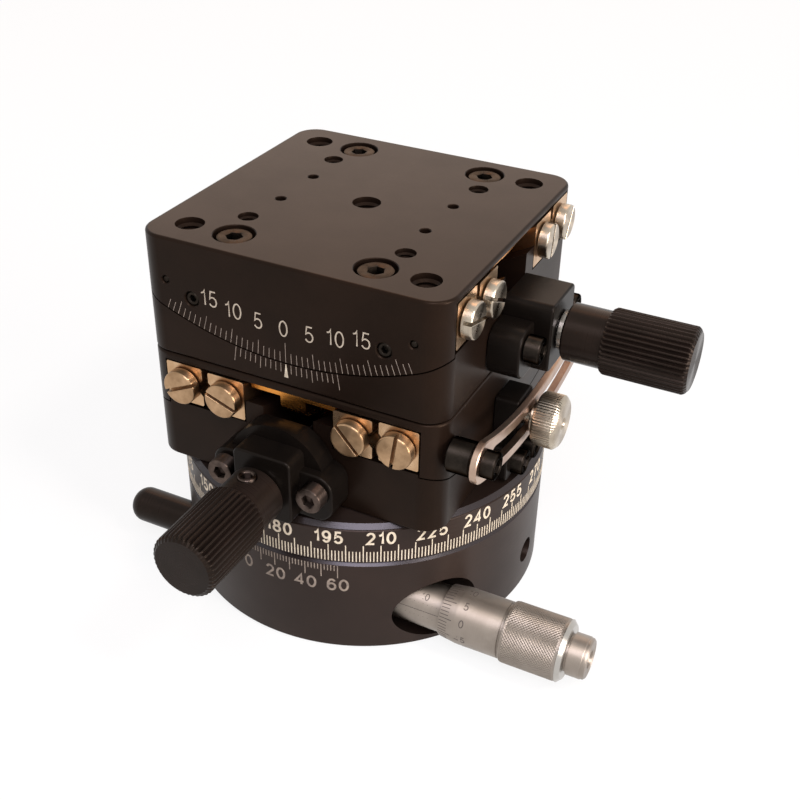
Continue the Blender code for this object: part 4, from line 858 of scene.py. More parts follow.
@dataclass
class RotaryStage(OnDriveLine):
    """The round body, the turntable with its dial ring, and the scales on both."""

    radius: float = 40.0
    body_height: float = 23.0
    floor: float = 3.5
    cavity: float = 23.5
    chamfer: float = 0.6
    rim_chamfer: float = 0.9
    thimble_bore: float = 7.2
    sleeve_bore: float = 5.3
    housing_bore: float = 4.3
    access: float = 2.9
    arm_room: float = 6.4
    arm_reach: float = 30.7
    arm_ceiling: float = 14.9
    mount_wall: float = 6.0
    hub: float = 15.5
    dial_inner: float = 34.0
    dial_high: float = 31.5
    dial_ease: float = 0.2
    rim_high: float = 32.7
    sides: int = 224
    zero_turn: float = -268.0
    vernier_zero: float = -99.4
    figure_height: float = 3.1

    @property
    def degree(self) -> float:
        """Length of one degree on the outer wall."""
        return math.tau * self.radius / 360

    def build(self) -> None:
        """Build every piece of the rotary stage but the micrometer."""
        self.build_body()
        self.build_turntable()
        self.build_dial_scale()
        self.build_body_vernier()
        for node in ("clamp_ring", "lock_screw"):
            self.bench.keep(node, BLACK_OXIDE)

    def build_body(self) -> None:
        """Build the cup with its cavity, drive bores and the access hole of the lock screw."""
        edge, high = self.radius - self.chamfer, self.body_height
        body = Shape.turned([(edge, 0), (self.radius, self.chamfer), (self.radius, high - self.chamfer - SKIN),
                             (edge - SKIN, high)], self.sides)
        self.bench.add("body_edge_turned", self.edge_skin(high, self.chamfer), ANODISED_EDGE, "base")
        body.combined(Shape.rod(self.cavity, self.floor, high + OVERRUN, 96))
        pocket = oblong((-self.arm_room, -self.arm_reach), (self.arm_room, 0))
        body.combined(Shape.prism(pocket, self.floor, self.arm_ceiling))
        seat = self.arm_room + self.mount_wall
        bore = Shape.turned([(self.sleeve_bore, 0), (self.sleeve_bore, seat), (self.thimble_bore, seat),
                             (self.thimble_bore, self.radius)], 64)
        body.combined(bore.moved(self.drive @ ALONG_X))
        body.combined(Shape.rod(self.housing_bore, 0, self.radius, 48).moved(self.drive @ ALONG_MINUS_X))
        lock = Shape.rod(self.access, 0, self.radius + OVERRUN, 40)
        body.combined(lock.moved(at(0, 0, self.drive_height) @ ALONG_X))
        self.bench.dress("rotary_body", "turned", body, ANODISED_TURNED, "base")

    def build_turntable(self) -> None:
        """Build the turntable's hub, plug and thin rim, and the dial ring under the rim."""
        low, rim_low = self.body_height + TOUCH_GAP, self.dial_high + TOUCH_GAP
        plug, inset, ease = self.dial_inner - TOUCH_GAP, self.rim_chamfer + SKIN, self.dial_ease
        self.bench.add("turntable_edge_turned", self.edge_skin(self.rim_high, self.rim_chamfer), ANODISED_EDGE,
                       "turntable")
        profile = [(self.hub, self.floor + TOUCH_GAP), (self.hub, low), (plug, low), (plug, rim_low),
                   (self.radius, rim_low), (self.radius, self.rim_high - inset), (self.radius - inset, self.rim_high)]
        self.bench.dress("turntable", "turned", Shape.turned(profile, self.sides), ANODISED_TURNED, "turntable")
        ring = [(self.dial_inner, low), (self.radius - ease, low), (self.radius, low + ease),
                (self.radius, self.dial_high - ease), (self.radius - ease, self.dial_high),
                (self.dial_inner, self.dial_high)]
        self.bench.dress("dial_ring", "turned", Shape.turned(ring, self.sides, hoop=True), ANODISED_TURNED,
                         "turntable")

    def edge_skin(self, high: float, chamfer: float) -> Shape:
        """Make the smooth skin of an outer chamfer.

        Args:
            high: Height of the face over it.
            chamfer: Its width and height.

        Returns:
            The skin.
        """
        inset = chamfer + SKIN
        section = [(self.radius - SKIN, high - inset), (self.radius, high - chamfer), (self.radius - chamfer, high),
                   (self.radius - inset, high - SKIN)]
        return Shape.turned(section, self.sides, hoop=True)

    def wall_scale(self, name: str, finish: Finish, body: str, turn: float) -> Scale:
        """Return an empty scale on the outer wall whose X 0 lies at this turn from +X."""
        return Scale(name, finish, body, about_z(turn + 90.0) @ ALONG_MINUS_Y, self.radius)

    def build_dial_scale(self) -> None:
        """Engrave the dial: a tick each degree, longer at each five, and a number at each fifteen."""
        foot, short, long, number_foot, width = 23.65, 26.2, 27.7, 28.0, 0.22
        ticks = self.wall_scale("dial_scale", SCALE_PAINT, "turntable", self.zero_turn)
        numbers = self.wall_scale("dial_numbers", SCALE_PAINT, "turntable", self.zero_turn)
        for degree in range(360):
            along = degree * self.degree
            ticks.tick(at(along, 0, 0), foot, short if degree % 5 else long, width)
            if degree % 15 == 0:
                numbers.number(str(degree), at(along, number_foot, 0), self.figure_height, 0.19)
        ticks.lay(self.bench)
        numbers.lay(self.bench)

    def build_body_vernier(self) -> None:
        """Engrave the vernier on the body: thirty divisions over twenty-nine degrees."""
        top, short, long, number_foot, width = 22.3, 20.9, 19.1, 15.7, 0.20
        vernier = self.wall_scale("body_vernier", WORN_PAINT, "base", self.vernier_zero)
        for step in range(31):
            along = step * (self.degree * 29 / 30)
            vernier.tick(at(along, 0, 0), short if step % 5 else long, top, width)
            if step % 10 == 0:
                vernier.number(str(step * 2), at(along, number_foot, 0), self.figure_height, 0.18, narrow=1.1)
        vernier.lay(self.bench)


# Micrometer and return spring

@dataclass
class Micrometer(OnDriveLine):
    """The micrometer on the +X side; its own Z runs along the spindle from the rotation plane."""

    sleeve: float = 5.0
    sleeve_start: float = 6.7
    sleeve_end: float = 47.0
    bore: float = 3.3
    mouth: float = 32.6
    mouth_edge: float = 5.42
    edge_break: float = 0.1
    taper: float = 3.3
    taper_drop: float = 0.5
    taper_step: float = 0.06
    groove: float = 0.28
    wall: float = 6.0
    grip: float = 6.5
    grip_start: float = 46.1
    grip_end: float = 59.1
    socket_end: float = 50.5
    cap: float = 4.4
    cap_end: float = 63.5
    cap_recess: float = 1.7
    scale_zero: float = 18.7
    pitch: float = 0.5
    sleeve_turn: float = 69.0
    thimble_turn: float = 64.0
    knurls: int = 60
    sides: int = 96
    paint: float = 0.015

    @property
    def frame(self) -> Matrix:
        """Frame of the spindle's line."""
        return self.drive @ ALONG_X

    @property
    def seat(self) -> float:
        """Radius of the thimble's tube under the knurled grip."""
        return self.wall - 0.2

    def build(self) -> None:
        """Build the sleeve, thimble, grip and their scales, and dress the spindle."""
        sleeve = [(self.bore, self.sleeve_start), (self.sleeve, self.sleeve_start),
                  (self.sleeve, self.sleeve_end), (self.bore, self.sleeve_end)]
        self.bench.dress("micrometer_sleeve", "plated", Shape.turned(sleeve, self.sides, hoop=True), SATIN_CHROME_PAINTED_WARM_REFLECTION,
                         "base", self.frame)
        inside, groove, edge = self.sleeve + TOUCH_GAP, self.wall - self.groove, self.mouth + self.edge_break
        taper = edge + self.taper
        thimble = [(inside, self.socket_end), (inside, edge), (self.mouth_edge, self.mouth),
                   (self.wall - self.taper_drop, edge), (self.wall - self.taper_step, taper),
                   (self.wall, taper + 0.3), (self.wall, self.grip_start - 0.5),
                   (groove, self.grip_start - 0.38), (groove, self.grip_start), (self.seat, self.grip_start),
                   (self.seat, self.grip_end - 0.4)]
        self.bench.dress("micrometer_thimble", "plated", Shape.turned(thimble, self.sides), SATIN_CHROME_PAINTED_WARM_REFLECTION,
                         "micrometer_thimble", self.frame)
        self.build_grip()
        self.build_cap()
        self.build_sleeve_scale()
        self.build_thimble_scale()
        self.bench.keep("micrometer_spindle", SHAFT_STEEL)

    def build_grip(self) -> None:
        """Build the diamond-knurled band as real geometry: two crossed helical waves, four points to a diamond."""
        columns = self.knurls * 4
        start, end = self.grip_start + 0.15, self.grip_end - 1.0
        step = math.tau * self.grip / columns
        rows = int((end - start) / step)
        rings = [(self.seat, start), (self.grip - 0.2, start)]
        for k in range(1, rows):
            fade = min(1.0, k / 3, (rows - k) / 3)
            waves = [abs((i + k) % 4 / 2 - 1) + abs((i - k) % 4 / 2 - 1) for i in range(columns)]
            rings.append([polar(self.grip - KNURL_DEPTH * (wave * fade + 1 - fade), math.tau * i / columns,
                                start + step * k) for i, wave in enumerate(waves)])
        rings += [(self.grip - 0.1, end + 0.02), (self.seat, end + 0.04)]
        self.bench.add("micrometer_knurled_grip", Shape.turned(rings, columns), SATIN_CHROME_PAINTED_WARM_REFLECTION, "micrometer_thimble",
                       self.frame)

    def build_cap(self) -> None:
        """Build the bright chamfered ring behind the knurl, and the stepped end cap."""
        grip, cap, end = self.grip, self.cap, self.cap_end
        start = self.grip_end - 0.94
        ring = [(self.seat, start), (grip - 0.05, start), (grip, start + 0.05), (grip, self.grip_end - 0.8),
                (grip - 0.8, self.grip_end), (cap + 0.2, self.grip_end)]
        self.bench.add("micrometer_bright_ring", Shape.turned(ring, self.sides), BRIGHT_CHROME, "micrometer_thimble",
                       self.frame)
        start, recess = self.grip_end + 0.04, self.cap_recess
        steps = [(cap - 0.5, start), (cap - 0.5, start + 0.5), (cap, start + 0.6), (cap, end - 0.9),
                 (cap - 0.15, end - 0.75), (cap - 0.15, end - 0.3), (cap - 0.45, end), (recess + 0.2, end),
                 (recess, end - 0.5), (0.1, end - 0.5)]
        self.bench.add("micrometer_end_cap", Shape.turned(steps, self.sides), SATIN_CHROME_PAINTED_WARM_REFLECTION, "micrometer_thimble",
                       self.frame)

    def build_sleeve_scale(self) -> None:
        """Engrave the sleeve's millimetre scale; seen from above, its line faces up and towards the front."""
        scale = Scale("micrometer_sleeve_scale", DARK_PAINT, "base", self.facing(self.sleeve_turn), self.sleeve,
                      self.paint)
        half_line, full_mark, half_mark, figure_height = 0.05, 1.6, 1.3, 1.5
        for step in range(27):
            place = self.scale_zero + step * self.pitch
            low, high = (0, half_mark) if step % 2 else (-full_mark, 0)
            bar = oblong((low, place - half_line), (high, place + half_line))
            scale.parts.append(Shape.prism(bar, -self.paint, self.paint))
            if step in (10, 20):
                scale.number(str(step // 2), at(-2.3, place, 0) @ about_z(90), figure_height, 0.12)
        line = rounded_outline((-half_line, self.scale_zero - self.pitch), (half_line, self.mouth - 0.2), 0.04, 1)
        # The marks stand a little higher than the line that they meet
        scale.parts.append(Shape.prism(line, 0.003 - self.paint, self.paint - 0.003))
        scale.lay(self.bench)

    def build_thimble_scale(self) -> None:
        """Engrave the thimble's fifty divisions, whose figures climb as the thimble is seen from the front."""
        scale = Scale("micrometer_thimble_scale", DARK_PAINT, "micrometer_thimble", self.facing(self.thimble_turn),
                      self.wall, self.paint)
        divisions, half_line, short, long, figure_height = 50, 0.08, 2.1, 3.0, 1.7
        for step in range(divisions):
            along = step * (math.tau * self.wall / divisions)
            end = self.mouth + (short if step % 5 else long)
            bar = oblong((along - half_line, self.mouth + 0.2), (along + half_line, end))
            scale.parts.append(Shape.prism(bar, -0.02, 0.02).mapped(self.on_taper))
            if step % 5 == 0:
                place = at(figure_height / 2 - along, self.mouth + 5.2, 0) @ about_z(90)
                scale.number(str(step), place, figure_height, 0.14)
        scale.lay(self.bench)

    def facing(self, turn: float) -> Matrix:
        """Return a frame with Y along the spindle and Z out of the wall, turned from up towards the front."""
        up = Matrix(((0, 1, 0), (-1, 0, 0), (0, 0, 1))).to_4x4()
        return self.drive @ Matrix.Rotation(math.radians(turn), 4, "X") @ up

    def on_taper(self, spot: Vector) -> Vector:
        """Lower a thimble mark on to the tapered edge.

        Args:
            spot: A point of the mark on the flat scale.

        Returns:
            Its lowered place.
        """
        share = min(1.0, max(0.0, (spot.y - self.mouth - self.edge_break) / self.taper))
        drop = self.taper_drop * (1 - share) + self.taper_step * share * (share < 1)
        return Vector((spot.x, spot.y, spot.z - drop))


@dataclass
class SpringHousing(OnDriveLine):
    """The black domed tube opposite the micrometer, with the plunger inside."""

    radius: float = 4.0
    bore: float = 2.5
    bore_depth: float = 18.0
    start: float = 6.7
    dome: float = 43.3
    dome_height: float = 3.42

    def build(self) -> None:
        """Build the housing with its round nose, and dress the plunger."""
        turns = [math.pi / 2 * k / 8 for k in range(8)]
        profile = [(self.bore, self.start + self.bore_depth), (self.bore, self.start), (self.radius, self.start)]
        profile += [(self.radius * math.cos(turn), self.dome + self.dome_height * math.sin(turn)) for turn in turns]
        self.bench.dress("spring_housing", "turned", Shape.turned(profile, 64), KNOB_BLACK, "base",
                         self.drive @ ALONG_MINUS_X)
        self.bench.keep("spring_plunger", SHAFT_STEEL)


# Tilt stages

class RailKind(Enum):
    """The half of a tilt stage that a rail is bolted to."""

    FIXED = "fixed"
    MOVING = "moving"


@dataclass(frozen=True)
class Rail:
    """One of a stage's four curved rails.

    Attributes:
        kind: Half of the stage that carries it.
        side: -1 or 1, its side of the middle plane.
        letter: End of its node's name.
        screw: Number of its stop screws.
    """

    kind: RailKind
    side: int
    letter: str
    screw: int


RAILS = (Rail(RailKind.FIXED, -1, "a", 2), Rail(RailKind.MOVING, -1, "a", 1),
         Rail(RailKind.FIXED, 1, "b", 3), Rail(RailKind.MOVING, 1, "b", 4))


@dataclass(frozen=True)
class HolePattern:
    """The holes of the top table, mirrored to both sides of its middle.

    Attributes:
        large: Distance of the large tapped holes from both middle lines.
        large_thread: Their radius and pitch.
        small: Distance of the small tapped holes from both middle lines.
        small_thread: Their radius and pitch.
        pin: Place of the dowel holes.
        pin_radius: Their radius.
        cap: Place of the cap screws.
        clearance: Radius of the cap screws' holes.
        counterbore: Radius of the cap screws' counterbores.
        seat_depth: Depth of the counterbores.
        depth: Depth of the tapped holes and of the cap screws' holes.
        preload: Reach from the middle and drop from the top of the preload screws in the scale face.
        face_pin: The same of the pins in the scale face.
    """

    large: float = 25.0
    large_thread: Flat = (2.8, 1.0)
    small: float = 17.0
    small_thread: Flat = (1.95, 0.7)
    pin: Flat = (16.0, 6.5)
    pin_radius: float = 1.1
    cap: Flat = (15.0, 25.0)
    clearance: float = 2.2
    counterbore: float = 4.1
    seat_depth: float = 4.5
    depth: float = 12.5
    preload: Flat = (20.5, 11.8)
    face_pin: Flat = (26.3, 9.0)


HOLES = HolePattern()


@dataclass
class TiltStage(Assembly):
    """One tilt stage in its own frame: origin on the tilt axis, X along the rails, Y along the axis.

    Attributes:
        name: "upper" or "lower".
        turn: Turn of the stage's frame about Z.
        tilt_height: Height of the tilt centre over the stage's nominal top.
        top_gap: Gap between the table's top and what it carries.
        end_wall: Wall over the rails at the table's ends.
        rib_depth: Depth of the rib under the sector's flange.
        base_body: CAD body of the fixed half.
        table_body: CAD body of the moving half.
        is_top: True for the stage whose table has the hole pattern.
        post_reach: Distance of the strap's posts from the middle.
        clamp_shift: Shift of the clamp along the rails.
        slot_turns: How far each stop screw's slot is turned from level.
        set_screw_turn: Turn of the knob's set screw from straight up.
    """

    name: str
    turn: float
    tilt_height: float
    top_gap: float
    end_wall: float
    rib_depth: float
    base_body: str
    table_body: str
    is_top: bool
    post_reach: float
    clamp_shift: float
    slot_turns: tuple[float, ...]
    set_screw_turn: float
    centre: float = 133.0
    side: float = 65.0
    table_side: float = 12.2
    stage_height: float = 25.0
    corner: float = 5.0
    chamfer: float = 0.6
    base_ease: float = 0.3
    split_gap: float = 0.15
    flange_wall: float = 4.2
    rail_drop: float = 1.2
    rail_shift: float = 0.3
    land: float = 10.0
    rail_width: float = 8.3
    rail_spacing: float = 1.4
    rail_ease: float = 0.25
    rail_groove: float = 3.5
    rail_bore: float = 1.8
    rail_bore_depth: float = 4.6
    sector_flange: float = 1.2
    worm_crest: float = 5.0
    worm_core: float = 3.9
    worm_room: float = 0.6
    channel_back: float = 3.2
    journal: float = 2.3
    journal_reach: float = 5.3
    far_stop_depth: float = 0.5
    rib_drop: float = 5.3
    strap_drop: float = 5.8

    @property
    def half(self) -> float:
        """Half the side of the stage."""
        return self.side / 2

    @property
    def start(self) -> float:
        """Distance from the middle to what is screwed on a side."""
        return self.half + TOUCH_GAP

    @property
    def top(self) -> float:
        """Height of the table's top face."""
        return -self.tilt_height - self.top_gap

    @property
    def floor(self) -> float:
        """Height of the base's bottom face."""
        return -self.tilt_height - self.stage_height

    @property
    def split(self) -> float:
        """Radius of the arc where table and base meet."""
        return math.hypot(self.half, self.tilt_height + self.table_side)

    @property
    def ceiling(self) -> float:
        """Radius of the pocket's ceiling."""
        return math.hypot(self.half, self.end_wall - self.top)

    @property
    def rail_outer(self) -> float:
        """Outer radius of the moving rails."""
        return self.split - self.rail_drop

    @property
    def rail_inner(self) -> float:
        """Inner radius of the moving rails."""
        return self.ceiling + TOUCH_GAP

    @property
    def worm_radius(self) -> float:
        """Distance from the tilt axis to the worm axis."""
        return self.rail_inner + self.sector_flange + self.rib_depth + TOUCH_GAP + self.worm_crest

    @property
    def strap_radius(self) -> float:
        """Middle radius of the clamp strap."""
        return self.split - self.strap_drop

    @property
    def frame(self) -> Matrix:
        """Frame of the stage in the row frame."""
        return at(0, 0, self.centre) @ about_z(self.turn)

    @property
    def worm_line(self) -> Matrix:
        """Frame of the worm's line, its Z along the shaft and its -X up."""
        return self.frame @ at(0, 0, -self.worm_radius) @ ALONG_X

    @property
    def strap_plane(self) -> Matrix:
        """Frame of the clamp's side, its Z out of it and its Y down from the tilt axis."""
        return self.frame @ ALONG_Y

    @property
    def clamp_line(self) -> Matrix:
        """Place of the thumb screw in the clamp's side, on the strap's middle arc."""
        return at(self.clamp_shift, math.sqrt(self.strap_radius ** 2 - self.clamp_shift ** 2), 0)

    def build(self) -> None:
        """Build both halves of the stage and everything on them."""
        self.build_table()
        self.build_base()
        for rail in RAILS:
            self.build_rail(rail)
        for part in (WormBracket, TiltKnob, ClampStrap, ClampBlock, ThumbScrew):
            part(self.bench, self).build()
        self.bench.keep(f"{self.name}_worm", SHAFT_STEEL)
        self.bench.keep(f"{self.name}_worm_sector", BRASS)
        for letter in "ab":
            self.bench.keep(f"{self.name}_roller_cage_{letter}", CAGE_STEEL)

    def block(self, low: float, ease_bottom: float, ease_top: float) -> Shape:
        """Return the square block that a half of the stage is milled from."""
        return eased_block((-self.half,) * 2, (self.half,) * 2, self.corner, low, self.top, ease_bottom, ease_top, 10)

    def build_table(self) -> None:
        """Build the moving table: a plate with a curved pocket and two flanges."""
        low, wide = -self.split - OVERRUN, self.half + OVERRUN
        inside, edge = self.half - self.flange_wall, self.split - self.split_gap
        table = self.block(low, 0.0, self.chamfer)
        flank = [(wide, math.hypot(wide, low - OVERRUN)), (wide, edge), (inside, edge), (inside, self.ceiling)]
        table.combined(Shape.arc(flank + mirrored(flank), wide))
        if self.is_top:
            table.combined(self.hole_cutters())
        self.bench.dress(f"{self.name}_table", "milled", table, ANODISED, self.table_body, self.frame)

    def hole_cutters(self) -> Shape:
        """Make the cutters of the hole pattern in the top face and of the two pairs in the scale face.

        Returns:
            All cutters as one shape.
        """
        quadrants = [(x, y) for x in (-1, 1) for y in (-1, 1)]
        deep, seat, wide, ease = -HOLES.depth, -HOLES.seat_depth, HOLES.counterbore, 0.15
        bore = [(HOLES.clearance, deep), (HOLES.clearance, seat), (wide, seat), (wide, -ease), (wide + ease, 0),
                (wide + ease, OVERRUN)]
        cutters = [tap(*HOLES.large_thread, HOLES.depth)
                   .moved(at(HOLES.large * x, HOLES.large * y, self.top)) for x, y in quadrants + [(0, 0)]]
        for x, y in quadrants:
            for cutter, (across, along) in (
                    (tap(*HOLES.small_thread, HOLES.depth), (HOLES.small, HOLES.small)),
                    (drill(HOLES.pin_radius, 3.0, 24, ease), HOLES.pin), (Shape.turned(bore, 48), HOLES.cap)):
                cutters.append(cutter.moved(at(across * x, along * y, self.top)))
        for side in (-1, 1):
            for (reach, drop), radius in ((HOLES.preload, 1.55), (HOLES.face_pin, 0.8)):
                face = at(side * reach, -self.half, self.top - drop) @ ALONG_MINUS_Y
                cutters.append(drill(radius, 2.5, 28, 0.2).moved(face))
        return Shape().with_parts(cutters)

    def build_base(self) -> None:
        """Build the fixed base: a block with a curved land, a rib and the worm's channel."""
        base = self.block(self.floor, self.base_ease, 0.0)
        wide, rail_edge = self.half + OVERRUN, self.band(RailKind.MOVING)[1]
        land = self.rail_outer + self.rail_shift + TOUCH_GAP
        shoulder, rib = self.split + self.split_gap, self.split - self.rib_drop
        channel = max(rib, self.worm_radius - self.worm_core - TOUCH_GAP + self.worm_room)
        rib_side, groove = self.land - TOUCH_GAP, self.worm_crest + self.worm_room
        steps = [(wide, self.tilt_height - OVERRUN), (wide, shoulder), (rail_edge, shoulder), (rail_edge, land),
                 (rib_side, land), (rib_side, rib), (groove, rib), (groove, channel)]
        base.combined(Shape.arc(steps + mirrored(steps), wide))
        back = self.channel_back + OVERRUN
        outline = oblong((-back, -groove), (wide, groove))
        base.combined(Shape.prism(outline, -self.worm_radius - groove, -self.tilt_height))
        journal = Shape.rod(self.journal, 0, back + self.journal_reach, 32)
        base.combined(journal.moved(at(0, 0, -self.worm_radius) @ ALONG_MINUS_X))
        self.bench.dress(f"{self.name}_base", "milled", base, ANODISED, self.base_body, self.frame)

    def band(self, kind: RailKind) -> Flat:
        """Return the two sides of a rail as distances from the middle plane."""
        near = self.land if kind is RailKind.FIXED else self.land + self.rail_width + self.rail_spacing
        return near, near + self.rail_width

    def rail_radii(self, kind: RailKind) -> Flat:
        """Return the inner and outer radius of a rail."""
        shift = self.rail_shift if kind is RailKind.FIXED else 0.0
        return self.rail_inner + shift, self.rail_outer + shift

    def rail_section(self, rail: Rail) -> list[Flat]:
        """Return the section of one rail, a rectangle with a V groove towards its neighbour.

        Args:
            rail: The rail.

        Returns:
            Points as (across, radius).
        """
        inner, outer = self.rail_radii(rail.kind)
        near, far = self.band(rail.kind)
        line = (self.rail_inner + self.rail_outer + self.rail_shift) / 2
        depth = self.rail_groove / math.sqrt(2) - self.rail_spacing / 2
        face, away, apex = (far, near, far - depth) if rail.kind is RailKind.FIXED else (near, far, near + depth)
        ease = self.rail_ease
        to_face = ease if face > away else -ease
        points = [(away + to_face, inner), (face - to_face, inner), (face, inner + ease), (face, line - depth),
                  (apex, line), (face, line + depth), (face, outer - ease), (face - to_face, outer),
                  (away + to_face, outer), (away, outer - ease), (away, inner + ease)]
        return [(rail.side * across, radius) for across, radius in points]

    def build_rail(self, rail: Rail) -> None:
        """Build one rail and the slotted stop screws on both its ends.

        Args:
            rail: The rail.
        """
        body = self.base_body if rail.kind is RailKind.FIXED else self.table_body
        middle = rail.side * sum(self.band(rail.kind)) / 2
        height = -math.sqrt((sum(self.rail_radii(rail.kind)) / 2) ** 2 - self.half ** 2)
        steel = Shape.arc(self.rail_section(rail), self.half, 36)
        for end in (ALONG_X, ALONG_MINUS_X):
            bore = Shape.rod(self.rail_bore, self.half - self.rail_bore_depth, self.half + OVERRUN, 24)
            steel.combined(bore.moved(at(0, middle, height) @ end))
        if rail.kind is RailKind.MOVING and self.is_top:
            for across in (-HOLES.cap[0], HOLES.cap[0]):
                hole = Shape.rod(HOLES.clearance, self.top - HOLES.depth - 0.5, self.top, 24)
                steel.combined(hole.moved(at(across, rail.side * HOLES.cap[1], 0)))
        self.bench.dress(f"{self.name}_{rail.kind.value}_rail_{rail.letter}", "ground", steel, RAIL_STEEL_PAINTED_REFLECTION, body,
                         self.frame)
        near = self.frame @ at(self.start, middle, height) @ ALONG_X @ about_z(90 + self.slot_turns[rail.screw - 1])
        # The lower stage's stop screws take the tan nickel, a painted reflection of the bench; the upper's take the
        # bright nickel
        self.bench.dress(f"{self.name}_stop_screw_{rail.screw}", "slotted", STOP_SCREW.shape(),
                         NICKEL_BRIGHT if self.is_top else NICKEL_PAINTED_REFLECTION, body, near)
        far = self.frame @ at(self.far_stop_depth - self.half, middle, height) @ ALONG_MINUS_X
        self.bench.add(f"{self.name}_far_stop_screw_{rail.screw}", FAR_STOP_SCREW.shape(), NICKEL_PAINTED_REFLECTION, body,
                       far @ about_z(90 - self.slot_turns[4 - rail.screw]))


@dataclass
class StagePart(Assembly):
    """A group of pieces on one tilt stage."""

    stage: TiltStage

    def label(self, part: str) -> str:
        """Return the name of one of the stage's parts."""
        return f"{self.stage.name}_{part}"


@dataclass
class WormBracket(StagePart):
    """The block with two ears that carries the worm shaft, along the worm's line."""

    rise: float = 7.5
    half_width: float = 6.3
    corner: float = 1.4
    length: float = 10.0
    ease: float = 0.45
    foot_gap: float = 0.5
    ear_rise: float = 3.7
    ear_half_width: float = 13.3
    ear_corner: float = 3.5
    ear_length: float = 6.5
    bore: float = 3.3
    screw_bore: float = 1.8
    screw_reach: float = 9.9
    flange: float = 10.7
    flange_length: float = 4.6
    tooth_room: float = 3.4
    tooth_half_width: float = 7.0

    @property
    def foot(self) -> float:
        """Distance from the worm's line down to the bracket's foot."""
        return -self.stage.floor - self.stage.worm_radius - self.foot_gap

    def build(self) -> None:
        """Build the bracket and the two cap screws that hold it."""
        start = self.stage.start
        ear_face, face = start + self.ear_length, start + self.length
        block = eased_block((-self.rise, -self.half_width), (self.foot, self.half_width), self.corner, start, face,
                            0.0, self.ease, 6)
        ears = eased_block((-self.ear_rise, -self.ear_half_width), (self.foot - TOUCH_GAP, self.ear_half_width),
                           self.ear_corner, start, ear_face, 0.0, self.ease, 8)
        block.combined(ears, "UNION")
        if not self.stage.is_top:
            block.combined(self.channel_flange(), "UNION")
        bore = [(self.bore, start - OVERRUN), (self.bore, face - 0.3), (self.bore + 0.3, face),
                (self.bore + 0.3, face + OVERRUN)]
        block.combined(Shape.turned(bore, 48))
        holes = [Shape.rod(self.screw_bore, start - OVERRUN, ear_face + OVERRUN, 24)
                 .moved(at(0, side * self.screw_reach, 0)) for side in (-1, 1)]
        block.combined(Shape().with_parts(holes))
        body, line = self.stage.base_body, self.stage.worm_line
        # The bracket takes the darker anodised black: painted shade for the stage's shade it sits in
        self.bench.dress(self.label("worm_bracket"), "milled", block, ANODISED_PAINTED_SHADE, body, line)
        # The upper stage's bracket screws take the darker oxide as painted shade
        steel = DARK_OXIDE_AND_PAINTED_SHADE if self.stage.is_top else BLACK_OXIDE
        for number, side in enumerate((-1, 1), 1):
            seat = line @ at(0, side * self.screw_reach, ear_face + TOUCH_GAP) @ about_z(20 * side)
            self.bench.dress(self.label(f"bracket_screw_{number}"), "socket", M3_CAP.shape(), steel, body, seat)

    def channel_flange(self) -> Shape:
        """Make the lower bracket's round flange, which covers the mouth of the worm's channel.

        Returns:
            The flange, cut to clear the base's foot and the sector's teeth.
        """
        start, worm_radius, edge = self.stage.start, self.stage.worm_radius, 12.0
        flange = Shape.rod(self.flange, start, start + self.flange_length, 96)
        below = oblong((self.foot - 2 * TOUCH_GAP, -edge), (edge, edge))
        flange.combined(Shape.prism(below, start - OVERRUN, start + 6.0))
        # The sector's teeth sweep over the flange as the table tilts
        sweep = Shape.rod(worm_radius - self.tooth_room, -self.tooth_half_width, self.tooth_half_width, 256)
        return flange.combined(sweep.moved(at(-worm_radius, 0, 0) @ ALONG_Y))


@dataclass
class TiltKnob(StagePart):
    """The knob on the worm shaft: a plain collar, a ribbed grip and a set screw in the collar."""

    standoff: float = 11.5
    collar: float = 5.75
    collar_length: float = 8.0
    length: float = 24.8
    crest: float = 6.6
    ribs: int = 40
    rib_depth: float = 0.48
    bore: float = 3.3
    bore_depth: float = 10.0
    screw_setback: float = 3.2

    def build(self) -> None:
        """Build the knob, its set screw and the thrust washer between knob and bracket."""
        start, crest, collar, ribs = self.stage.start + self.standoff, self.crest, self.collar, self.ribs
        collar_end, end, bore_end = start + self.collar_length, start + self.length, start + self.bore_depth
        knob = Shape.turned([
            (0.1, bore_end), (self.bore, bore_end), (self.bore, start + 0.3), (self.bore + 0.3, start),
            (collar - 0.4, start), (collar, start + 0.4), (collar, collar_end - 0.1), (crest - 0.35, collar_end),
            ribbed(crest, self.rib_depth, collar_end + 0.5, ribs), ribbed(crest, self.rib_depth, end - 0.9, ribs),
            ribbed(crest - 0.3, self.rib_depth * 0.5, end - 0.45, ribs), (crest - 0.95, end), (0.1, end)],
            ribs * len(RIB_WAVE))
        line, body = self.stage.worm_line, self.label("worm_shaft")
        # The knob's own -X is up when the object is at rest
        spot = at(0, 0, start + self.screw_setback) @ about_z(self.stage.set_screw_turn) @ ALONG_MINUS_X
        hole = Shape.turned([(1.95, 2.6), (1.95, collar - 0.15), (2.1, collar + 0.1), (2.1, collar + OVERRUN)], 40)
        knob.combined(hole.moved(spot))
        self.bench.dress(self.label("tilt_knob"), "ribbed", knob, KNOB_BLACK, body, line)
        screw = Shape.turned([(1.8, 2.8), (1.8, collar + 0.1), (1.65, collar + 0.25), (1.25, collar + 0.25),
                              hexagon(1.15, collar + 0.1, 48), hexagon(1.15, collar - 1.4, 48)], 48)
        self.bench.add(self.label("knob_set_screw"), screw, BLACK_OXIDE, body, line @ spot)
        washer = [(3.1, start - 1.3), (3.9, start - 1.3), (4.05, start - 1.15), (4.05, start - 0.35),
                  (3.9, start - 0.2), (3.1, start - 0.2)]
        self.bench.add(self.label("thrust_washer"), Shape.turned(washer, 64, hoop=True), SHAFT_STEEL, body, line)


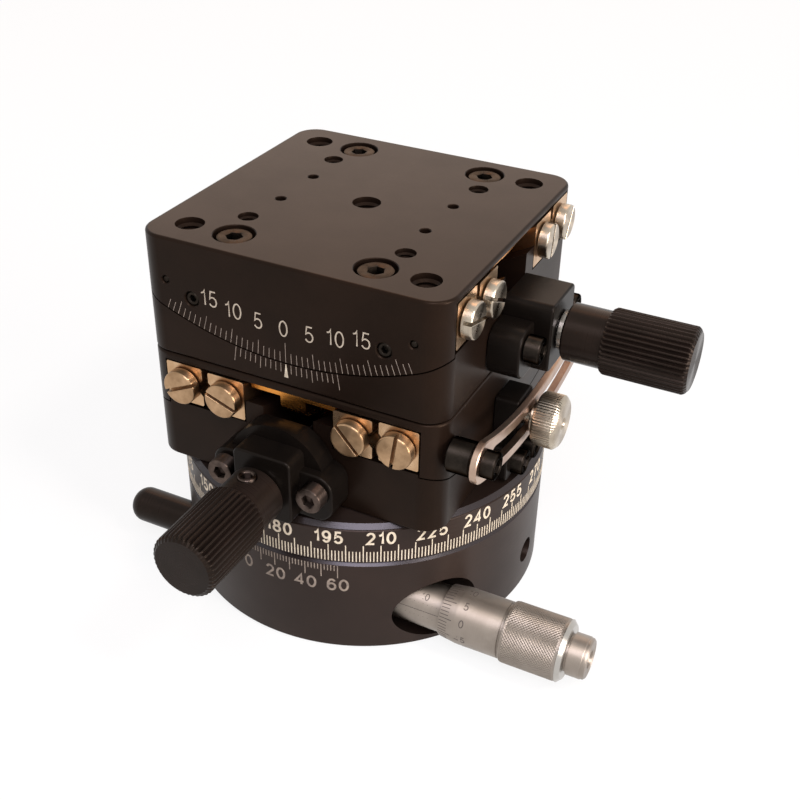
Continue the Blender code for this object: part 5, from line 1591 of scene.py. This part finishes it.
@dataclass
class ClampStrap(StagePart):
    """The slotted arc strap on the moving table, with its two posts and their cap screws."""

    standoff: float = 5.5
    thick: float = 1.5
    half_width: float = 4.25
    ease: float = 0.2
    slot: float = 2.2
    slot_setback: float = 5.2
    screw_bore: float = 1.8
    post: float = 3.5
    post_ease: float = 0.3

    def build(self) -> None:
        """Build the strap, the posts and the screws."""
        radius, plane, body = self.stage.strap_radius, self.stage.strap_plane, self.stage.table_body
        low, high = self.stage.half + self.standoff, self.stage.half + self.standoff + self.thick
        post_turn = math.asin(self.stage.post_reach / radius)
        strap = self.band(self.half_width, post_turn, low, high, self.ease)
        slot = self.band(self.slot, post_turn - self.slot_setback / radius, low - OVERRUN, high + OVERRUN, 0.0)
        strap.combined(slot)
        spots = [(side * radius * math.sin(post_turn), radius * math.cos(post_turn)) for side in (-1, 1)]
        holes = [Shape.rod(self.screw_bore, low - OVERRUN, high + OVERRUN, 24).moved(at(x, y, 0)) for x, y in spots]
        strap.combined(Shape().with_parts(holes))
        self.bench.dress(self.label("clamp_strap"), "plated", strap, NICKEL_STRAP_PAINTED_REFLECTION, body, plane)
        start, end, inset = self.stage.start, low - TOUCH_GAP, self.post - self.post_ease
        profile = [(inset, start), (self.post, start + self.post_ease), (self.post, end - self.post_ease),
                   (inset, end)]
        for number, (x, y) in enumerate(spots, 1):
            seat = plane @ at(x, y, 0)
            self.bench.dress(self.label(f"strap_post_{number}"), "turned", Shape.turned(profile, 56), DARK_OXIDE_AND_PAINTED_SHADE,
                             body, seat)
            self.bench.add(self.label(f"strap_screw_{number}"), M3_POST_CAP.shape(), DARK_OXIDE_AND_PAINTED_SHADE, body,
                           seat @ at(0, 0, high + 0.03) @ about_z(15 * number))

    def band(self, half_width: float, half_turn: float, low: float, high: float, ease: float) -> Shape:
        """Make an arc band with round ends, drawn about the tilt axis in its own XY plane.

        Args:
            half_width: Half the band's width.
            half_turn: Turn from the middle to the centre of each round end, in radians.
            low: Lowest Z.
            high: Highest Z.
            ease: Rounding of both edges.

        Returns:
            The band.
        """
        levels = [(low, ease), (low + ease, 0.0), (high - ease, 0.0), (high, ease)]
        rings = []
        for z, inset in levels if ease else levels[::3]:
            width = half_width - inset
            outline = []
            for side in (1, -1):
                # The outer edge runs back from the right end, the inner edge from the left end
                for k in range(33):
                    turn = side * half_turn * (1 - k / 16)
                    reach = self.stage.strap_radius + side * width
                    outline.append((reach * math.sin(turn), reach * math.cos(turn)))
                outline += self.round_end(-side * half_turn, width * side)
            rings.append([(x, y, z) for x, y in outline])
        return Shape.loft(rings)

    def round_end(self, turn: float, width: float) -> list[Flat]:
        """Return the points of a band's round end.

        Args:
            turn: Turn of the end's centre from the middle, in radians.
            width: Half the band's width, negative for the end that starts at the inner edge.

        Returns:
            Points between the two edges, without those on the edges.
        """
        points = []
        for k in range(1, 12):
            swing = math.pi * k / 12
            out, past = self.stage.strap_radius + width * math.cos(swing), -width * math.sin(swing)
            points.append((out * math.sin(turn) + past * math.cos(turn),
                           out * math.cos(turn) - past * math.sin(turn)))
        return points


@dataclass
class ClampBlock(StagePart):
    """The block on the fixed base that the thumb screw presses the strap against."""

    thick: float = 5.2
    half_width: float = 8.4
    neck_half_width: float = 4.2
    shoulder: float = 4.0
    neck_rise: float = 4.8
    corner: float = 1.2
    ease: float = 0.4
    foot_gap: float = 0.5
    bore: float = 2.2
    screw_rise: float = 3.3
    screw_reach: float = 3.4
    recess: float = 2.9

    def build(self) -> None:
        """Build the block and its two cap screws."""
        start, end, shift = self.stage.start, self.stage.half + self.thick, self.stage.clamp_shift
        radius, floor = self.stage.strap_radius, self.stage.floor
        shoulder = radius + self.shoulder
        block = eased_block((shift - self.half_width, shoulder), (shift + self.half_width, -floor - self.foot_gap),
                            self.corner, start, end, 0.0, self.ease, 6)
        neck = eased_block((shift - self.neck_half_width, radius - self.neck_rise),
                           (shift + self.neck_half_width, shoulder + self.neck_rise), self.corner, start, end, 0.0,
                           self.ease, 6)
        block.combined(neck, "UNION")
        block.combined(Shape.rod(self.bore, start - OVERRUN, end + OVERRUN, 32).moved(self.stage.clamp_line))
        spots = [(shift + side * self.screw_reach, -floor - self.screw_rise) for side in (-1, 1)]
        for x, y in spots:
            block.combined(Shape.rod(self.recess, end - 0.6, end + OVERRUN, 40).moved(at(x, y, 0)))
        body, plane = self.stage.base_body, self.stage.strap_plane
        # The block shares the bracket's darker anodised black, painted shade
        self.bench.dress(self.label("clamp_block"), "milled", block, ANODISED_PAINTED_SHADE, body, plane)
        for number, (x, y) in enumerate(spots, 1):
            self.bench.add(self.label(f"block_screw_{number}"), M3_BLOCK_CAP.shape(), DARK_OXIDE_AND_PAINTED_SHADE, body,
                           plane @ at(x, y, end - 0.5) @ about_z(25 * number))


@dataclass
class ThumbScrew(StagePart):
    """The thumb screw of the clamp, with straight knurling and a bevelled face."""

    standoff: float = 7.3
    collar_length: float = 1.0
    length: float = 6.2
    shank: float = 1.9
    collar: float = 3.6
    crest: float = 5.7
    ribs: int = 60
    rib_depth: float = 0.11

    def build(self) -> None:
        """Build the screw from its shank's tip to the dimple in its face."""
        half, shank, collar, crest, depth, ribs = (self.stage.half, self.shank, self.collar, self.crest,
                                                   self.rib_depth, self.ribs)
        first = half + self.standoff
        collar_end, end = first + self.collar_length, first + self.length
        screw = Shape.turned([
            (shank - 0.2, half + 0.6), (shank, half + 0.9), (shank, first), (collar - 0.2, first),
            (collar, first + 0.2), (collar, collar_end), (crest - 0.6, collar_end),
            ribbed(crest - 0.25, depth * 0.6, collar_end + 0.25, ribs), ribbed(crest, depth, collar_end + 0.6, ribs),
            ribbed(crest, depth, end - 0.9, ribs), ribbed(crest - 0.3, depth * 0.6, end - 0.55, ribs),
            (crest - 0.7, end - 0.15), (crest - 1.0, end), (1.3, end), (1.1, end - 0.25), (0.1, end - 0.25)],
            ribs * len(RIB_WAVE))
        self.bench.dress(self.label("thumb_screw"), "knurled", screw, NICKEL_BRIGHT, self.label("thumb"),
                         self.stage.strap_plane @ self.stage.clamp_line)


@dataclass
class TopTable(StagePart):
    """What the hole pattern and the scale face of the upper table carry."""

    number_radius: float = 62.85
    number_height: float = 3.4
    number_drop: float = 1.65
    tick_gap: float = 0.05

    @property
    def top(self) -> float:
        """Height of the table's top face in the row frame."""
        return self.stage.centre + self.stage.top

    @property
    def face(self) -> Matrix:
        """Frame of the scale face: X to the right, Y up from the tilt centre, Z out."""
        return at(0, -self.stage.half, self.stage.centre) @ ALONG_MINUS_Y

    def build(self) -> None:
        """Build the cap screws, the set screws and pins, and the tilt scale with its vernier."""
        height = self.top - HOLES.seat_depth + TOUCH_GAP
        for number, (x, y) in enumerate([(x, y) for x in (-1, 1) for y in (-1, 1)], 1):
            seat = at(x * HOLES.cap[0], y * HOLES.cap[1], height) @ about_z(17 * number)
            self.bench.dress(f"table_screw_{number}", "socket", M4_CAP.shape(), SUNK_OXIDE, self.stage.table_body,
                             seat)
        self.build_face_screws()
        self.build_tilt_scale()
        self.build_tilt_vernier()

    def build_face_screws(self) -> None:
        """Build the two preload set screws and the two pins in the scale face."""
        screw = [(1.3, -2.45), (1.45, -2.2), (1.45, -0.55), (1.2, -0.35), (0.85, -0.35), hexagon(0.78, -0.45, 36),
                 hexagon(0.78, -1.5, 36)]
        pin = [(0.7, -2.45), (0.7, -0.5), (0.5, -0.3), (0.1, -0.25)]
        for label, side in (("left", -1), ("right", 1)):
            for name, profile, sides, (reach, drop) in (("preload_screw", screw, 36, HOLES.preload),
                                                        ("flange_pin", pin, 28, HOLES.face_pin)):
                place = at(side * reach, -self.stage.half, self.top - drop) @ ALONG_MINUS_Y
                # The pins and set screws take the dark oxide, which also stands as painted shade of the holes they
                # sit in
                self.bench.add(f"{name}_{label}", Shape.turned(profile, sides), DARK_OXIDE_AND_PAINTED_SHADE, self.stage.table_body,
                               place)

    def build_tilt_scale(self) -> None:
        """Engrave the tilt scale: a tick each degree and a number each five."""
        ticks = Scale("upper_tilt_ticks", WORN_PAINT, self.stage.table_body, self.face)
        arc = self.stage.split - self.stage.split_gap - self.tick_gap
        short, long, zero = 2.1, 3.1, 4.2
        for degree in range(-22, 23):
            length = zero if degree == 0 else short if degree % 5 else long
            ticks.tick(about_z(degree), -arc, -arc + length, 0.12)
        ticks.lay(self.bench)
        numbers = Scale("upper_tilt_numbers", GREY_PAINT, self.stage.table_body, self.face)
        for value in (-15, -10, -5, 0, 5, 10, 15):
            turn = math.radians(value - 0.25)
            foot = -self.number_radius * math.cos(turn) - self.number_drop
            place = at(self.number_radius * math.sin(turn), foot, 0)
            numbers.number(str(abs(value)), place, self.number_height, 0.09, narrow=0.92)
        numbers.lay(self.bench)

    def build_tilt_vernier(self) -> None:
        """Engrave the vernier on the base: ten divisions over nine degrees each way, and the pointer."""
        vernier = Scale("upper_tilt_vernier", WORN_PAINT, self.stage.base_body, self.face)
        arc = self.stage.split + self.stage.split_gap + self.tick_gap
        short, middle, long = 1.9, 2.6, 3.2
        for step in [step for step in range(-10, 11) if step]:
            length = long if abs(step) == 10 else short if step % 5 else middle
            vernier.tick(about_z(step * 0.9), -arc - length, -arc, 0.13)
        vernier.lay(self.bench)
        pointer = Scale("upper_tilt_pointer", SCALE_PAINT, self.stage.base_body, self.face)
        pointer.tick(Matrix.Identity(4), -arc - 2.9, -arc, 0.85, end_width=0.14)
        pointer.lay(self.bench)


# Studio

@dataclass(frozen=True)
class Lamp:
    """A square soft lamp that faces the object.

    Attributes:
        name: Its name.
        place: Its place in metres.
        size: Its side in metres.
        watts: Its power.
        tint: sRGB colour of its light.
    """

    name: str
    place: Point
    size: float
    watts: float
    tint: str

    def hang(self) -> None:
        """Put the lamp in the scene."""
        lamp = bpy.data.lights.new(self.name, "AREA")
        lamp.size, lamp.energy, lamp.color = self.size, self.watts, linear(self.tint)[:3]
        holder = bpy.data.objects.new(self.name, lamp)
        bpy.context.scene.collection.objects.link(holder)
        holder.location = self.place
        holder.rotation_euler = (Vector((0, 0, 0.05)) - Vector(self.place)).to_track_quat("-Z", "Y").to_euler()


LAMPS = (Lamp("softbox_back", (-0.34, 0.78, 0.62), 0.80, 2.2, "#ffcca0"),
         Lamp("warm_card_back", (-0.38, 0.51, 0.84), 0.30, 0.9, "#ffb070"),
         Lamp("softbox_right", (0.62, -0.20, 0.83), 0.14, 3.0, "#fff6ee"),
         Lamp("softbox_low_right", (0.95, -0.15, 0.24), 0.45, 9.0, "#fff4ec"),
         Lamp("softbox_front_top", (0.27, -0.55, 0.77), 0.45, 5.2, "#f4f0fc"))


@dataclass
class Studio:
    """Camera at the photograph's angle, soft lights and a plain pale floor.

    Attributes:
        eye: Camera place in metres.
        azimuth: Camera turn from the front, in degrees.
        elevation: Camera height angle, in degrees.
        roll: Camera roll, in degrees.
        lens: Focal length for a 36 mm sensor and a square picture.
        floor_half: Half the floor's side in metres.
        room_light: Strength of the pale room's light on the object.
        floor_glow: Share of the floor that shows as plain white.
    """

    eye: Point = (0.10010, -0.19113, 0.17593)
    azimuth: float = 25.646
    elevation: float = 32.941
    roll: float = 1.276
    lens: float = 52.215
    floor_half: float = 3.0
    room_light: float = 0.32
    floor_glow: float = 0.85

    def build(self) -> None:
        """Set up everything that isn't part of the object."""
        self.set_camera()
        self.set_world()
        self.set_floor()
        for lamp in LAMPS:
            lamp.hang()
        bpy.context.scene.view_settings.view_transform = "Standard"

    def set_camera(self) -> None:
        """Put the camera where the photograph was taken from."""
        a, e, r = [math.radians(v) for v in (self.azimuth, self.elevation, self.roll)]
        back = Vector((math.sin(a) * math.cos(e), -math.cos(a) * math.cos(e), math.sin(e)))
        right = Vector((math.cos(a), math.sin(a), 0))
        up = back.cross(right)
        x_axis = right * math.cos(r) + up * math.sin(r)
        y_axis = up * math.cos(r) - right * math.sin(r)
        lens = bpy.data.cameras.new("photo_camera")
        lens.lens, lens.sensor_width = self.lens, 36.0
        lens.clip_start, lens.clip_end = 0.01, 20.0
        camera = bpy.data.objects.new("photo_camera", lens)
        bpy.context.scene.collection.objects.link(camera)
        camera.matrix_world = Matrix.Translation(self.eye) @ Matrix((x_axis, y_axis, back)).transposed().to_4x4()
        bpy.context.scene.camera = camera

    def seen(self, tree: bpy.types.NodeTree) -> bpy.types.NodeSocket:
        """Tell what is looked at from light on the object.

        Args:
            tree: Node tree that takes the nodes.

        Returns:
            A socket with 1 where the camera, a reflection or clear glass looks, and 0 elsewhere.
        """
        path = add_node(tree, "LightPath").outputs
        shown = add_node(tree, "Math", {0: path["Is Camera Ray"], 1: path["Is Glossy Ray"]}, operation="MAXIMUM")
        return add_node(tree, "Math", {0: shown.outputs[0], 1: path["Is Transmission Ray"]},
                        operation="MAXIMUM").outputs[0]

    def set_world(self) -> None:
        """Light the scene with an even pale room that shows as white."""
        world = bpy.data.worlds.new("pale_room")
        bpy.context.scene.world = world
        world.use_nodes = True
        tree = world.node_tree
        tree.nodes.clear()
        strength = add_node(tree, "MapRange", {"Value": self.seen(tree), "To Min": self.room_light,
                                               "To Max": 1.0}).outputs[0]
        light = add_node(tree, "Background", {"Color": linear("#ffffff"), "Strength": strength})
        add_node(tree, "OutputWorld", {"Surface": light.outputs[0]})

    def set_floor(self) -> None:
        """Lay a plain white floor that keeps the object's shadow."""
        square = oblong((-self.floor_half,) * 2, (self.floor_half,) * 2)
        mesh = bpy.data.meshes.new("studio_floor")
        mesh.from_pydata([(x, y, 0) for x, y in square], [], [(0, 1, 2, 3)])
        material = bpy.data.materials.new("matt_white_board")
        material.use_nodes = True
        tree = material.node_tree
        tree.nodes.clear()
        board = add_node(tree, "BsdfDiffuse", {"Color": linear("#f4f4f4"), "Roughness": 0.6})
        glow = add_node(tree, "Emission", {"Color": linear("#ffffff"), "Strength": 1.0})
        share = add_node(tree, "Math", {0: self.seen(tree), 1: self.floor_glow}, operation="MULTIPLY").outputs[0]
        mixed = add_node(tree, "MixShader", {0: share, 1: board.outputs[0], 2: glow.outputs[0]})
        add_node(tree, "OutputMaterial", {"Surface": mixed.outputs[0]})
        mesh.materials.append(material)
        floor = bpy.data.objects.new("studio_floor", mesh)
        bpy.context.scene.collection.objects.link(floor)


def main() -> None:
    """Dress the frame and set the studio."""
    logging.basicConfig(level=logging.INFO, format="%(name)s: %(message)s")
    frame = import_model()
    bench = Bench(frame["nodes"])
    Studio().build()
    lower = TiltStage(bench, "lower", turn=-90.0, tilt_height=75.0, top_gap=0.3, end_wall=1.6, rib_depth=2.2,
                      base_body="turntable", table_body="lower_table", is_top=False, post_reach=28.4,
                      clamp_shift=2.5, slot_turns=(25.0, -20.0, -48.0, 82.0), set_screw_turn=0.0)
    upper = TiltStage(bench, "upper", turn=0.0, tilt_height=50.0, top_gap=0.0, end_wall=1.1, rib_depth=0.14,
                      base_body="lower_table", table_body="upper_table", is_top=True, post_reach=24.8,
                      clamp_shift=0.0, slot_turns=(-15.0, -26.0, 80.0, 60.0), set_screw_turn=235.0)
    for assembly in (RotaryStage(bench), Micrometer(bench), SpringHousing(bench), lower, upper,
                     TopTable(bench, upper)):
        LOG.info("building %s", type(assembly).__name__)
        assembly.build()


if __name__ == "__main__":
    main()
